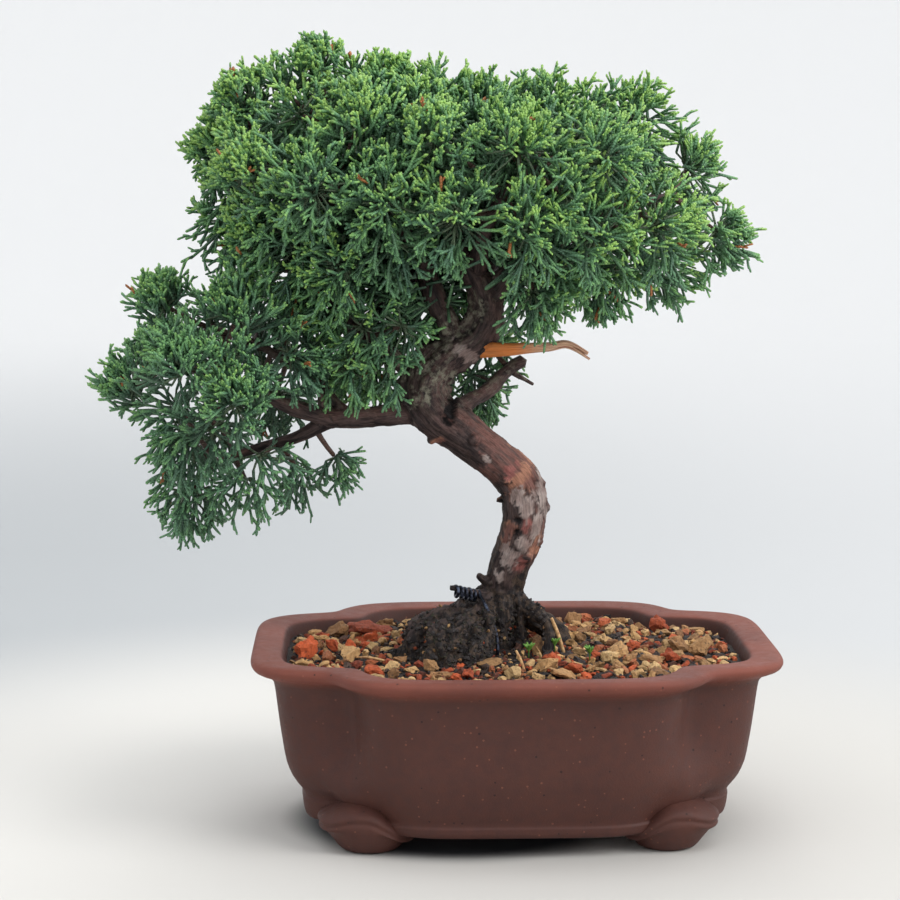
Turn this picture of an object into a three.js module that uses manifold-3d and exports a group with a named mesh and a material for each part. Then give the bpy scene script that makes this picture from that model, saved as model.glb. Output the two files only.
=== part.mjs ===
// A Chinese juniper bonsai in a brown clay pot with four lobes.
// Millimetres, +Z up. The tree is seen from -Y, and the pot's long side lies along X.

import * as THREE from 'three';
import { mergeVertices } from 'three/addons/utils/BufferGeometryUtils.js';
import Module from 'manifold-3d';

const wasm = await Module();
wasm.setup();

// Pot: two crossed lobes, each a squared oval, make the outline
const POT_HEIGHT = 71.5;
const SIDE_LOBE = { halfX: 102, halfY: 60.1, squareness: 6.27 };
const FRONT_LOBE = { halfX: 72.7, halfY: 82, squareness: 5.56 };
const LOBE_BLEND = 26;
const WALL = 6;
const RIM_WIDTH = 11.5;
const FOOT_HEIGHT = 8;
const FLOOR_TOP = 15;
const FOOT_CENTRE = { x: 56, y: 44 };
const FOOT_PROFILE = [[0, 0], [9.5, 0], [12.5, 2], [16, 7], [17.5, 12], [0, 14.5]];
const FOOT_SIDES = 12;
const DRAIN_RADIUS = 9;
const DRAIN_X = 38;
const POT_SIDES = 36;

// Soil and gravel
const SOIL_TOP = 65.5;
const GRAVEL_COUNT = 50;
const GRAIN_RADIUS = { min: 2.6, max: 4.6 };
const FLAT_STONE = { x: -54, y: 36, z: 67.5, halfX: 9, halfY: 7, halfZ: 4.5 };

// Wood, wire and foliage
const TRUNK_SIDES = 8;
const TRUNK_STEPS = 22;
const ROOT_SIDES = 5;
const ROOT_STEPS = 4;
const LIMB_SIDES = 5;
const KNOT_SIDES = 4;
const TWIG_RADIUS = 0.9;
const WIRE_RADIUS = 0.75;
const WIRE_SIDES = 4;
const WIRE_STEPS = 44;
const WIRE_TURNS = 4.5;
const WIRE_PITCH = 1.9;
const CORD_RADIUS = 0.8;
const CORE_SHARE = 0.66;
const CORE_UNEVENNESS = 0.24;
const CORD_LEAN = 0.5;
const SHORTEST_CORD = 3;
const CORD_SHARE = 0.7;

// Clearance left between touching pieces
const GAP = 0.3;

// Wood paths: each row is x, y, z and the radius there
const TRUNK = [
  [-6, 6, 50, 10.5], [-5, 6, 68, 10], [-4, 5, 82, 8.8], [-2, 3, 99, 8.2], [2, 1, 111, 7.9],
  [4, 0, 123, 8.8], [2, 0, 134, 8.6], [-7, 0, 144, 8.3], [-20, -1, 154, 8.6], [-31, -1, 163, 10],
  [-35, 0, 172, 10.3], [-31, 2, 180, 9.6], [-23, 3, 186, 8.7], [-14, 2, 193, 7.8], [-11, 0, 204, 6.8],
  [-15, -2, 215, 5.8], [-21, -3, 226, 4.8], [-25, -2, 239, 3.8], [-21, 0, 252, 3], [-15, 2, 263, 2.2],
];
const ROOTS = [
  [[-6, 4, 86, 6], [-20, -4, 81, 6.6], [-33, -11, 77, 7.6], [-40, -17, 66, 6.4], [-43, -20, 57, 4.5]],
  [[-6, 2, 84, 6.5], [-18, -12, 79.5, 7.4], [-27, -23, 74, 8], [-31, -31, 64, 6.4], [-32, -34, 56, 4.4]],
  [[-5, 2, 84, 4], [-12, -9, 79.5, 4.4], [-15, -21, 73, 4.8], [-15, -29, 62, 4], [-15, -31, 55, 3]],
  [[-2, 4, 88, 4.5], [6, -2, 85, 3.4], [13, -9, 79, 2.5], [13, -16, 68, 2.2], [11, -19, 58, 1.8]],
  [[-3, 6, 84, 6], [8, 8, 79, 5.5], [18, 10, 71, 4.5], [26, 12, 60, 3]],
  [[-5, 8, 84, 6], [-4, 18, 77, 5.6], [-2, 28, 69, 4.4], [0, 36, 59, 3]],
  [[-8, 7, 84, 6], [-20, 12, 78, 5.6], [-31, 16, 70, 4.6], [-40, 20, 59, 3]],
];
const LIMBS = {
  left_leader: [[-20, 2, 186, 5], [-29, 0, 203, 4.4], [-35, -3, 218, 3.8], [-42, -5, 232, 3.1],
    [-53, -3, 248, 2.5], [-64, 0, 264, 2], [-72, 0, 275, 1.3]],
  right_front_limb: [[-11, 0, 206, 4.4], [4, -9, 222, 3.6], [24, -16, 234, 2.8], [44, -17, 243, 2],
    [60, -12, 247, 1.3]],
  right_back_limb: [[-15, -2, 216, 4], [2, 20, 228, 3.2], [22, 28, 241, 2.4], [42, 28, 252, 1.5]],
  left_back_limb: [[-32, -1, 211, 3.4], [-54, 20, 224, 2.8], [-76, 26, 240, 2.1], [-92, 22, 252, 1.4]],
  left_front_limb: [[-40, -4, 229, 3], [-60, -17, 240, 2.4], [-82, -18, 250, 1.8], [-98, -12, 258, 1.2]],
  front_limb: [[-15, -2, 216, 3.6], [-12, -22, 234, 2.8], [-4, -32, 250, 1.9], [8, -30, 258, 1.3]],
  back_limb: [[-21, -3, 227, 3.2], [-24, 24, 244, 2.4], [-26, 34, 260, 1.5]],
  left_branch: [[-36, 0, 163, 5.4], [-53, -3, 161, 4.1], [-72, -6, 161, 3.6], [-88, -9, 166, 2.9],
    [-104, -13, 173, 2.3], [-120, -14, 179, 1.7], [-133, -12, 183, 1.2]],
  left_low_fork: [[-70, -6, 161, 3], [-84, -2, 153, 2.4], [-102, 6, 147, 1.9], [-116, 4, 142, 1.3]],
  left_high_fork: [[-65, -5, 161, 2.7], [-82, 3, 178, 2.1], [-104, 6, 190, 1.6], [-118, 2, 195, 1.2]],
  knee_branch: [[-38, 1, 176, 3.4], [-54, -3, 190, 2.4], [-68, -9, 203, 1.8], [-82, -12, 216, 1.2]],
  back_branch: [[-24, 0, 162, 4], [-10, 12, 169, 3], [-1, 18, 177, 2.7], [5, 20, 180, 2.5]],
  back_twig: [[-1, 18, 177, 1], [9, 20, 171, 0.6]],
  dead_stub: [[-74, -6, 161, 1.6], [-76, -8, 174, 0.9]],
  jin: [[-14, 1, 187, 3.4], [-4, -2, 187, 2.5], [13, -4, 188, 1.7], [21, -5, 189, 1.5], [30, -6, 184, 1.2]],
  cut_stub: [[-6, 2, 91, 2.4], [-14, -3, 98, 1.3]],
};
const KNOTS = [
  [[-6, 0, 136, 2.2], [-3, -9.5, 136, 1.4]],
  [[2, 0, 134, 2], [12.5, -1, 134, 1.2]],
  [[4, 0, 124, 2.4], [14.5, 0, 124.5, 1.4]],
  [[2, 1, 110, 2.4], [11.5, -1, 111, 1.6]],
  [[-20, -1, 155, 2.8], [-15, -9.5, 152, 2.2]],
  [[-26, -1, 160, 2.4], [-33, -4, 150.5, 1.6]],
  [[-35, 0, 170, 3], [-39, -11, 168, 2]],
  [[2, 0, 132, 2.2], [-6.5, -3, 127, 1.3]],
];
const WIRE_STUB = [[-6, 2, 90, 2.4], [-15, -6, 91.5, 1.9], [-22, -8.5, 93.5, 1.9], [-29, -11, 95.5, 1.8]];
const WIRE_TAIL = [[-13.5, -9.5, 92], [-10, -14.5, 85], [-7.4, -15, 77], [-6.6, -15, 68], [-6.5, -15, 60]];

// Foliage tufts: each row is x, y, z and the reach of the tuft
const TUFTS = {
  crown_left: [[-115, 4, 264, 19], [-103, -6, 280, 19], [-97, -34, 256, 20], [-98, -22, 234, 18],
    [-101, 38, 264, 19]],
  crown_top: [[-75, 0, 293, 20], [-61, -36, 274, 20], [-45, 4, 288, 19], [-72, 40, 276, 19],
    [-32, -42, 268, 20], [-15, 2, 278, 19], [-40, 44, 274, 19], [15, 0, 278, 19], [-1, -46, 264, 20],
    [-8, 48, 270, 19]],
  crown_right: [[45, 2, 275, 19], [29, -42, 259, 20], [68, 0, 256, 19], [76, -4, 231, 19],
    [53, -38, 236, 19], [56, 0, 221, 18], [27, 46, 268, 19], [54, 42, 246, 19]],
  crown_front: [[-76, -44, 249, 20], [-51, -46, 244, 19], [-25, -48, 238, 20], [2, -50, 237, 20],
    [26, -44, 231, 19], [-66, -30, 222, 17]],
  crown_low: [[32, -8, 216, 17], [6, -22, 211, 18], [24, 32, 221, 18], [-4, 46, 233, 18],
    [-46, 46, 238, 18], [-72, -4, 208, 15], [-28, 34, 208, 15], [-12, 25, 168, 10], [-52, 24, 203, 16],
    [-60, 20, 179, 15]],
  pad_left: [[-136, -4, 204, 17], [-147, -4, 172, 18], [-127, -34, 184, 18], [-110, -24, 201, 17],
    [-126, -10, 154, 18], [-127, 2, 130, 19], [-106, -36, 171, 17], [-134, 30, 184, 17],
    [-116, 28, 152, 17]],
  pad_right: [[-86, -20, 187, 15], [-105, -6, 136, 17], [-87, 8, 139, 15], [-100, 24, 195, 16],
    [-94, 26, 166, 15], [-70, 2, 144, 11]],
};

const clay = new THREE.MeshStandardMaterial({ color: 0x5d3a33, roughness: 0.8, metalness: 0 });
const grit = new THREE.MeshStandardMaterial({ color: 0x7a5c40, roughness: 0.95, metalness: 0 });
const bark = new THREE.MeshStandardMaterial({ color: 0x5f443b, roughness: 0.85, metalness: 0 });
const leaf = new THREE.MeshStandardMaterial({ color: 0x3f7a3a, roughness: 0.6, metalness: 0 });
const wire = new THREE.MeshStandardMaterial({ color: 0x16181c, roughness: 0.35, metalness: 0.8 });
const netting = new THREE.MeshStandardMaterial({ color: 0x20221f, roughness: 0.6, metalness: 0 });

// A seeded draw, the same on every run
function seeded(seed) {
  let state = seed;
  return () => {
    state = (state + 0x6d2b79f5) | 0;
    let mixed = Math.imul(state ^ (state >>> 15), 1 | state);
    mixed = (mixed + Math.imul(mixed ^ (mixed >>> 7), 61 | mixed)) ^ mixed;
    return ((mixed ^ (mixed >>> 14)) >>> 0) / 4294967296;
  };
}

// Closed geometry to a solid that can be joined and cut; triangles that shrank to a line are dropped
function solidOf(geometry) {
  const bare = geometry.clone();
  bare.deleteAttribute('normal');
  bare.deleteAttribute('uv');
  const merged = mergeVertices(bare, 1e-4);
  const vertProperties = new Float32Array(merged.attributes.position.array);
  const corners = Array.from({ length: merged.index.count / 3 }, (_, i) => merged.index.array.slice(3 * i, 3 * i + 3));
  const triVerts = new Uint32Array(corners.filter(([a, b, c]) => a !== b && b !== c && c !== a)
    .flatMap((corner) => [...corner]));
  return new wasm.Manifold(new wasm.Mesh({ numProp: 3, vertProperties, triVerts }));
}

// The largest closed surface of a solid: loose scraps are dropped and sealed hollows filled
function largestBody(solid) {
  return solid.decompose().reduce((best, body) => (body.volume() > best.volume() ? body : best));
}

function geometryOf(solid) {
  const mesh = solid.getMesh();
  const geometry = new THREE.BufferGeometry();
  geometry.setAttribute('position', new THREE.BufferAttribute(mesh.vertProperties, 3));
  geometry.setIndex(new THREE.BufferAttribute(mesh.triVerts, 1));
  geometry.computeVertexNormals();
  return geometry;
}

function join(solids) {
  return solids.reduce((whole, next) => whole.add(next));
}

function piece(name, solid, material) {
  const mesh = new THREE.Mesh(geometryOf(largestBody(solid)), material);
  mesh.name = name;
  return mesh;
}

// Radius of one squared oval at an angle, drawn in by an inset
function lobeRadius(angle, lobe, inset) {
  const alongX = Math.abs(Math.cos(angle)) / (lobe.halfX - inset);
  const alongY = Math.abs(Math.sin(angle)) / (lobe.halfY - inset);
  return (alongX ** lobe.squareness + alongY ** lobe.squareness) ** (-1 / lobe.squareness);
}

// Pot outline: the farther of the two lobes, with their crossing slightly rounded
function potRadius(angle, inset) {
  const side = lobeRadius(angle, SIDE_LOBE, inset);
  const front = lobeRadius(angle, FRONT_LOBE, inset);
  return (side ** LOBE_BLEND + front ** LOBE_BLEND) ** (1 / LOBE_BLEND);
}

// A turned profile of [inset, height] rows, pushed out to the pot outline; null inset is the axis
function lobedLathe(profile, sides) {
  const marked = profile.map(([inset, z]) => new THREE.Vector2(inset === null ? 0 : 100 - inset, z));
  const lathe = new THREE.LatheGeometry(marked, sides).rotateX(Math.PI / 2);
  const position = lathe.attributes.position;
  for (let i = 0; i < position.count; i++) {
    const x = position.getX(i);
    const y = position.getY(i);
    const reach = Math.hypot(x, y);
    if (reach < 1e-3) {
      position.setXY(i, 0, 0);
      continue;
    }
    const even = Math.atan2(y, x);
    const angle = even + 0.14 * Math.sin(4 * even);
    const radius = potRadius(angle, 100 - reach);
    position.setXY(i, radius * Math.cos(angle), radius * Math.sin(angle));
  }
  return solidOf(lathe);
}

// Upright cylinder or cone between two heights
function upright(x, y, bottom, top, bottomRadius, topRadius, sides) {
  const shape = new THREE.CylinderGeometry(topRadius, bottomRadius, top - bottom, sides);
  shape.rotateX(Math.PI / 2);
  shape.translate(x, y, (bottom + top) / 2);
  return solidOf(shape);
}

function mirroredCorners({ x, y }) {
  return [[x, y], [-x, y], [-x, -y], [x, -y]];
}

// Inner wall of the pot, from the floor up to the rim
const INNER_WALL = [
  [20 + WALL, FLOOR_TOP], [15 + WALL, 25], [10.4 + WALL, 44], [RIM_WIDTH + 2.5, POT_HEIGHT - 4],
  [RIM_WIDTH, POT_HEIGHT - 0.6],
];

function buildPot() {
  const outerWall = [
    [null, FOOT_HEIGHT + 1.5], [23, FOOT_HEIGHT + 1.5], [20.6, FOOT_HEIGHT], [18.4, 15],
    [13, 31], [10.4, 44], [8.6, 60], [5, POT_HEIGHT - 7], [0.3, POT_HEIGHT - 4.5],
    [2.4, POT_HEIGHT], [null, POT_HEIGHT],
  ];
  const body = lobedLathe(outerWall, POT_SIDES);
  const top = POT_HEIGHT + 2;
  const cavity = lobedLathe([[null, FLOOR_TOP], ...INNER_WALL, [RIM_WIDTH - 2, top], [null, top]], POT_SIDES);
  const feet = join(mirroredCorners(FOOT_CENTRE).map(([x, y]) => {
    const profile = FOOT_PROFILE.map(([radius, z]) => new THREE.Vector2(radius, z));
    return solidOf(new THREE.LatheGeometry(profile, FOOT_SIDES).rotateX(Math.PI / 2).translate(x, y, 0));
  }));
  const drains = join([-DRAIN_X, DRAIN_X].map((x) =>
    upright(x, 0, FOOT_HEIGHT, FLOOR_TOP + 1, DRAIN_RADIUS, DRAIN_RADIUS, 14)));
  return body.subtract(cavity).add(feet).subtract(drains);
}

// A square of netting with four holes, lying on the floor over a drain
const NETTING_HALF = 12.5;
const NETTING_THICKNESS = 1.2;
const NETTING_PITCH = 11;
const NETTING_HOLE = 8;
function buildNetting(x) {
  const block = (width, thickness, dx, dy) => {
    const box = new THREE.BoxGeometry(width, width, thickness);
    return solidOf(box.translate(x + dx, dy, FLOOR_TOP + GAP + NETTING_THICKNESS / 2));
  };
  const steps = [-NETTING_PITCH / 2, NETTING_PITCH / 2];
  const holes = steps.flatMap((dx) => steps.map((dy) => block(NETTING_HOLE, NETTING_THICKNESS * 2, dx, dy)));
  return block(2 * NETTING_HALF, NETTING_THICKNESS, 0, 0).subtract(join(holes));
}

// A smooth closed limb through [x, y, z, radius] rows, optionally grown outwards. Each end cap is a fan
// from one corner, since its middle point is moved there.
// capsules, if given, collects the straight stretches that hold the limb.
function limb(rows, sides, steps, grow = 0, capsules = null) {
  const path = new THREE.CatmullRomCurve3(rows.map(([x, y, z]) => new THREE.Vector3(x, y, z)), false, 'centripetal');
  const frames = path.computeFrenetFrames(steps, false);
  const stations = Array.from({ length: steps + 1 }, (_, i) => {
    const along = path.getUtoTmapping(i / steps) * (rows.length - 1);
    const row = Math.min(Math.floor(along), rows.length - 2);
    const radius = THREE.MathUtils.lerp(rows[row][3], rows[row + 1][3], along - row) + grow;
    return { centre: path.getPointAt(i / steps), radius };
  });
  stations[0].centre.addScaledVector(frames.tangents[0], -grow);
  stations[steps].centre.addScaledVector(frames.tangents[steps], grow);
  for (let i = 0; capsules && i < steps; i++) {
    const radius = Math.max(stations[i].radius, stations[i + 1].radius);
    capsules.push({ from: stations[i].centre, to: stations[i + 1].centre, radius });
  }
  const tube = new THREE.CylinderGeometry(1, 1, 1, sides, steps);
  const position = tube.attributes.position;
  for (let i = 0; i < position.count; i++) {
    const step = Math.round((0.5 - position.getY(i)) * steps);
    const { centre, radius } = stations[step];
    const x = position.getX(i);
    const z = position.getZ(i);
    const isCapCentre = Math.hypot(x, z) < 0.5;
    const point = centre.clone();
    point.addScaledVector(frames.normals[step], isCapCentre ? 0 : x * radius);
    point.addScaledVector(frames.binormals[step], isCapCentre ? radius : z * radius);
    position.setXYZ(i, point.x, point.y, point.z);
  }
  return solidOf(tube);
}

function closestOn(capsule, point) {
  return new THREE.Line3(capsule.from, capsule.to).closestPointToPoint(point, true, new THREE.Vector3());
}

// Shortest distance between two segments, by sampling the shorter one finely
function segmentDistance(capsule, start, end) {
  const samples = Math.max(2, Math.ceil(start.distanceTo(end)));
  let nearest = Infinity;
  for (let i = 0; i <= samples; i++) {
    const point = start.clone().lerp(end, i / samples);
    nearest = Math.min(nearest, closestOn(capsule, point).distanceTo(point));
  }
  return nearest;
}

function isClear(capsules, start, end, radius) {
  return capsules.every((capsule) => segmentDistance(capsule, start, end) > capsule.radius + radius + GAP);
}

const woodCapsules = [];
const rootSolids = [
  limb(TRUNK, TRUNK_SIDES, TRUNK_STEPS, 0, woodCapsules),
  ...ROOTS.map((rows) => limb(rows, ROOT_SIDES, ROOT_STEPS, 0, woodCapsules)),
];
const limbSolids = Object.values(LIMBS).map((rows) => limb(rows, LIMB_SIDES, rows.length, 0, woodCapsules));
const wireStubSolid = limb(WIRE_STUB, LIMB_SIDES, 6, 0, woodCapsules);
const knotSolids = KNOTS.map((rows) => limb(rows, KNOT_SIDES, 1, 0, woodCapsules));
const branchCapsules = woodCapsules.filter((capsule) => Math.min(capsule.from.z, capsule.to.z) > 155);

// Every tuft with the twig that carries it, from the nearest point of the branches
const tufts = Object.entries(TUFTS).flatMap(([group, rows]) => rows.map(([x, y, z, reach], index) => {
  const centre = new THREE.Vector3(x, y, z);
  const reachTo = (capsule) => closestOn(capsule, centre).distanceTo(centre) + 2 * capsule.radius;
  const carrier = branchCapsules.reduce((best, next) => (reachTo(next) < reachTo(best) ? next : best));
  const start = closestOn(carrier, centre);
  return { name: `foliage_${group}_${index + 1}`, centre, reach, start };
}));

function twigCapsule(tuft) {
  return { from: tuft.start, to: tuft.centre, radius: TWIG_RADIUS };
}

// Planes half way to the neighbours, weighted by reach, which keep each tuft in a cell of its own
function cellWalls(tuft) {
  return tufts.filter((other) => other !== tuft).map((other) => {
    const normal = other.centre.clone().sub(tuft.centre);
    const distance = normal.length();
    normal.divideScalar(distance);
    const share = (distance ** 2 + tuft.reach ** 2 - other.reach ** 2) / (2 * distance);
    return { normal, offset: normal.dot(tuft.centre) + share - GAP };
  });
}

// How far a ray may run before it leaves the cell
function roomAlong(walls, start, direction) {
  return walls.reduce((room, wall) => {
    const slope = wall.normal.dot(direction);
    return slope > 1e-6 ? Math.min(room, (wall.offset - wall.normal.dot(start)) / slope) : room;
  }, Infinity);
}

function setCore(tuft, others) {
  const walls = cellWalls(tuft);
  const byWalls = Math.min(...walls.map((wall) => wall.offset - wall.normal.dot(tuft.centre)));
  const wood = [...woodCapsules, ...others.map(twigCapsule)];
  const byWood = Math.min(...wood.map((capsule) =>
    closestOn(capsule, tuft.centre).distanceTo(tuft.centre) - capsule.radius - GAP));
  tuft.walls = walls;
  tuft.core = Math.min(CORE_SHARE * tuft.reach, byWalls, byWood);
  const inwards = tuft.start.clone().sub(tuft.centre).normalize();
  tuft.twigEnd = tuft.centre.clone().addScaledVector(inwards, tuft.core + GAP);
  tuft.inwards = inwards;
}
for (const tuft of tufts) {
  setCore(tuft, tufts.filter((other) => other !== tuft));
}

const twigSolids = tufts.map(({ start, twigEnd }) => {
  const rows = [[start.x, start.y, start.z, TWIG_RADIUS], [twigEnd.x, twigEnd.y, twigEnd.z, TWIG_RADIUS]];
  return limb(rows, 3, 1, 0, woodCapsules);
});

// Where a cord from the core ends: inside the cell and clear of the wood, or null if it has no room
function cordEnd(tuft, start, direction, length) {
  const room = roomAlong(tuft.walls, start, direction) - 2 * CORD_RADIUS;
  const end = start.clone().addScaledVector(direction, Math.min(length, room));
  const staysIn = tuft.walls.every(({ normal, offset }) => normal.dot(end) < offset - CORD_RADIUS);
  const isLong = Math.min(length, room) > SHORTEST_CORD;
  return isLong && staysIn && isClear(woodCapsules, start, end, CORD_RADIUS) ? end : null;
}

// Draws each corner of a core in by its own share, apart from the corner that meets the twig
function roughen(corners, twigSide, draw) {
  const shares = new Map();
  for (let i = 0; i < corners.count; i++) {
    const corner = new THREE.Vector3().fromBufferAttribute(corners, i);
    const key = corner.toArray().map((value) => value.toFixed(3)).join();
    const isTwigSide = corner.clone().normalize().dot(twigSide) > 0.99;
    shares.set(key, shares.get(key) ?? (isTwigSide ? 1 : 1 - CORE_UNEVENNESS * draw()));
    corner.multiplyScalar(shares.get(key));
    corners.setXYZ(i, corner.x, corner.y, corner.z);
  }
}

// A tuft: a small faceted core with a three-sided cord drawn out of each face that has room for it
function buildTuft(tuft, seed) {
  const draw = seeded(seed);
  const core = new THREE.IcosahedronGeometry(tuft.core, 0);
  const corners = core.attributes.position;
  const firstCorner = new THREE.Vector3().fromBufferAttribute(corners, 0).normalize();
  core.applyQuaternion(new THREE.Quaternion().setFromUnitVectors(firstCorner, tuft.inwards));
  roughen(corners, tuft.inwards, draw);
  core.translate(tuft.centre.x, tuft.centre.y, tuft.centre.z);
  const points = [];
  for (let face = 0; face < corners.count; face += 3) {
    const edge = [0, 1, 2].map((k) => new THREE.Vector3().fromBufferAttribute(corners, face + k));
    const middle = edge[0].clone().add(edge[1]).add(edge[2]).divideScalar(3);
    const outwards = middle.clone().sub(tuft.centre).normalize();
    const lean = new THREE.Vector3(draw() - 0.5, draw() - 0.5, draw() - 0.2).multiplyScalar(CORD_LEAN);
    const direction = outwards.clone().add(lean).normalize();
    const length = tuft.reach * (0.94 + 0.1 * draw()) - middle.distanceTo(tuft.centre);
    const end = draw() < CORD_SHARE ? cordEnd(tuft, middle, direction, length) : null;
    if (end === null) {
      points.push(...edge);
      continue;
    }
    const spokes = edge.map((corner) => corner.clone().sub(middle).setLength(CORD_RADIUS));
    const root = spokes.map((spoke) => middle.clone().add(spoke));
    const tip = spokes.map((spoke) => end.clone().add(spoke));
    for (const [k, next] of [[0, 1], [1, 2], [2, 0]]) {
      points.push(edge[k], edge[next], root[next], edge[k], root[next], root[k]);
      points.push(root[k], root[next], tip[next], root[k], tip[next], tip[k]);
    }
    points.push(...tip);
  }
  return solidOf(new THREE.BufferGeometry().setFromPoints(points));
}

// Loose soil with gravel on it, hollowed where the wood, wire and netting stand in it
function buildSoil(hollows, stands) {
  const sides = INNER_WALL.filter(([, z]) => z < SOIL_TOP && z > FLOOR_TOP).map(([inset, z]) => [inset + GAP, z]);
  const wallAtTop = RIM_WIDTH + 3.2 + GAP;
  const profile = [
    [null, FLOOR_TOP + GAP], [20 + WALL + GAP, FLOOR_TOP + GAP], ...sides, [wallAtTop, SOIL_TOP],
    [wallAtTop + 24, SOIL_TOP + 1.5], [null, SOIL_TOP + 3],
  ];
  const draw = seeded(7);
  const grains = [];
  while (grains.length < GRAVEL_COUNT) {
    const angle = draw() * 2 * Math.PI;
    const radius = THREE.MathUtils.lerp(GRAIN_RADIUS.min, GRAIN_RADIUS.max, draw());
    const reach = Math.sqrt(draw()) * (potRadius(angle, wallAtTop + radius + 1));
    const centre = new THREE.Vector3(reach * Math.cos(angle), reach * Math.sin(angle), SOIL_TOP + 1.2);
    const stretch = new THREE.Vector3(0.8 + 0.4 * draw(), 0.8 + 0.4 * draw(), 0.6 + 0.25 * draw());
    const turn = draw() * Math.PI;
    if (isClear(stands, centre, centre, radius * 1.2 + GAP)) {
      const grain = new THREE.OctahedronGeometry(radius, 0).rotateX(turn).scale(stretch.x, stretch.y, stretch.z);
      grain.rotateZ(turn).translate(centre.x, centre.y, centre.z);
      grains.push(solidOf(grain));
    }
  }
  const stone = new THREE.IcosahedronGeometry(1, 0);
  stone.scale(FLAT_STONE.halfX, FLAT_STONE.halfY, FLAT_STONE.halfZ).rotateX(0.5);
  stone.translate(FLAT_STONE.x, FLAT_STONE.y, FLAT_STONE.z);
  const filled = join([lobedLathe(profile, POT_SIDES), ...grains, solidOf(stone)]);
  return filled.subtract(join(hollows));
}

// Tie wire: turns wound round the stub, then a tail down into the soil
function wireRows() {
  const tip = new THREE.Vector3(...WIRE_STUB[3]);
  const inward = new THREE.Vector3(...WIRE_STUB[1]).sub(tip).normalize();
  const side = new THREE.Vector3(0, 0, 1).cross(inward).normalize();
  const up = inward.clone().cross(side);
  const radius = WIRE_STUB[1][3] + GAP + WIRE_RADIUS + 0.15;
  const perTurn = 8;
  const rows = [];
  for (let i = 0; i <= WIRE_TURNS * perTurn; i++) {
    const angle = (i / perTurn) * 2 * Math.PI;
    const point = tip.clone().addScaledVector(inward, 2 + (i / perTurn) * WIRE_PITCH);
    point.addScaledVector(side, radius * Math.cos(angle)).addScaledVector(up, radius * Math.sin(angle));
    rows.push([point.x, point.y, point.z, WIRE_RADIUS]);
  }
  return [...rows, ...WIRE_TAIL.map((row) => [...row, WIRE_RADIUS])];
}
const wireCapsules = [];
const wireSolid = limb(wireRows(), WIRE_SIDES, WIRE_STEPS, 0, wireCapsules);

const hollows = [
  limb(TRUNK, TRUNK_SIDES, TRUNK_STEPS, GAP),
  ...ROOTS.map((rows) => limb(rows, ROOT_SIDES, ROOT_STEPS, GAP)),
  limb(wireRows(), WIRE_SIDES, WIRE_STEPS, GAP),
  ...[-DRAIN_X, DRAIN_X].map((x) => {
    const half = NETTING_HALF + GAP;
    const block = new THREE.BoxGeometry(2 * half, 2 * half, 2 * (NETTING_THICKNESS + 2 * GAP));
    return solidOf(block.translate(x, 0, FLOOR_TOP + GAP));
  }),
];

const bonsai = new THREE.Group();
bonsai.add(piece('pot', buildPot(), clay));
bonsai.add(piece('drain_netting_left', buildNetting(-DRAIN_X), netting));
bonsai.add(piece('drain_netting_right', buildNetting(DRAIN_X), netting));
bonsai.add(piece('soil', buildSoil(hollows, [...woodCapsules, ...wireCapsules]), grit));
bonsai.add(piece('trunk', join([...rootSolids, ...limbSolids, wireStubSolid, ...knotSolids, ...twigSolids]), bark));
bonsai.add(piece('tie_wire', wireSolid, wire));
tufts.forEach((tuft, index) => bonsai.add(piece(tuft.name, buildTuft(tuft, index + 1), leaf)));

// The origin is under the middle of the whole, on the surface that the pot stands on
const box = new THREE.Box3().setFromObject(bonsai);
const middle = box.getCenter(new THREE.Vector3());
bonsai.position.set(-middle.x, -middle.y, -box.min.z);

export default bonsai;
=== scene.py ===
"""Looks of a chinese juniper bonsai: clay pot, gritty soil, twisted trunk, tie wire and scale foliage.

Lengths are written in millimetres in the pot's own frame, where the pot's middle is x = y = 0 and its feet
stand on z = 0. A mesh is put into the row frame, in metres, when its object is made.
"""

import logging
import math
from collections.abc import Callable
from dataclasses import dataclass, field
from enum import Enum

import bpy
import numpy as np
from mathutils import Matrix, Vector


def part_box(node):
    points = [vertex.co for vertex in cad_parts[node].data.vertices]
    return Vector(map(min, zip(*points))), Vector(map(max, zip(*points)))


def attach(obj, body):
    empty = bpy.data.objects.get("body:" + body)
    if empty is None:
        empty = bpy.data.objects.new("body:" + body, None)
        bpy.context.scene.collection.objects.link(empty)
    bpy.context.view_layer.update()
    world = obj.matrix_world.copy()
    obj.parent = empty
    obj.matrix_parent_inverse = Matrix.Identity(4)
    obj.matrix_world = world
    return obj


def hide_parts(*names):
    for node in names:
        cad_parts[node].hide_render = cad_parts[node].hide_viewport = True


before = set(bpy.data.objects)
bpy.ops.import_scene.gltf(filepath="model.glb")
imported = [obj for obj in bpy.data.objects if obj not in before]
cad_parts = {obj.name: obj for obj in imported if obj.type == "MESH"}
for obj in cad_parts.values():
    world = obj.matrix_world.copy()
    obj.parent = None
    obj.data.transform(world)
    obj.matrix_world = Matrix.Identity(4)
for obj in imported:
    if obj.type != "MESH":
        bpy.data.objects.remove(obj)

LOG = logging.getLogger("bonsai")
MM = 0.001
UP = np.array([0.0, 0.0, 1.0])
TURN = 2.0 * math.pi
GOLDEN_TURN = math.radians(137.5)

Array = np.ndarray
Numbers = Array | float
Spot = tuple[float, float, float]
Colour = tuple[float, float, float]
Socket = bpy.types.NodeSocket
Fed = Socket | Colour | float | str


def paint(red: float, green: float, blue: float) -> Colour:
    """Turns a colour of 0 to 255 as seen on a screen into the linear one that a shader takes."""
    seen = np.array([red, green, blue]) / 255.0
    linear = np.where(seen <= 0.04045, seen / 12.92, ((seen + 0.055) / 1.055) ** 2.4)
    return (float(linear[0]), float(linear[1]), float(linear[2]))


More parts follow.
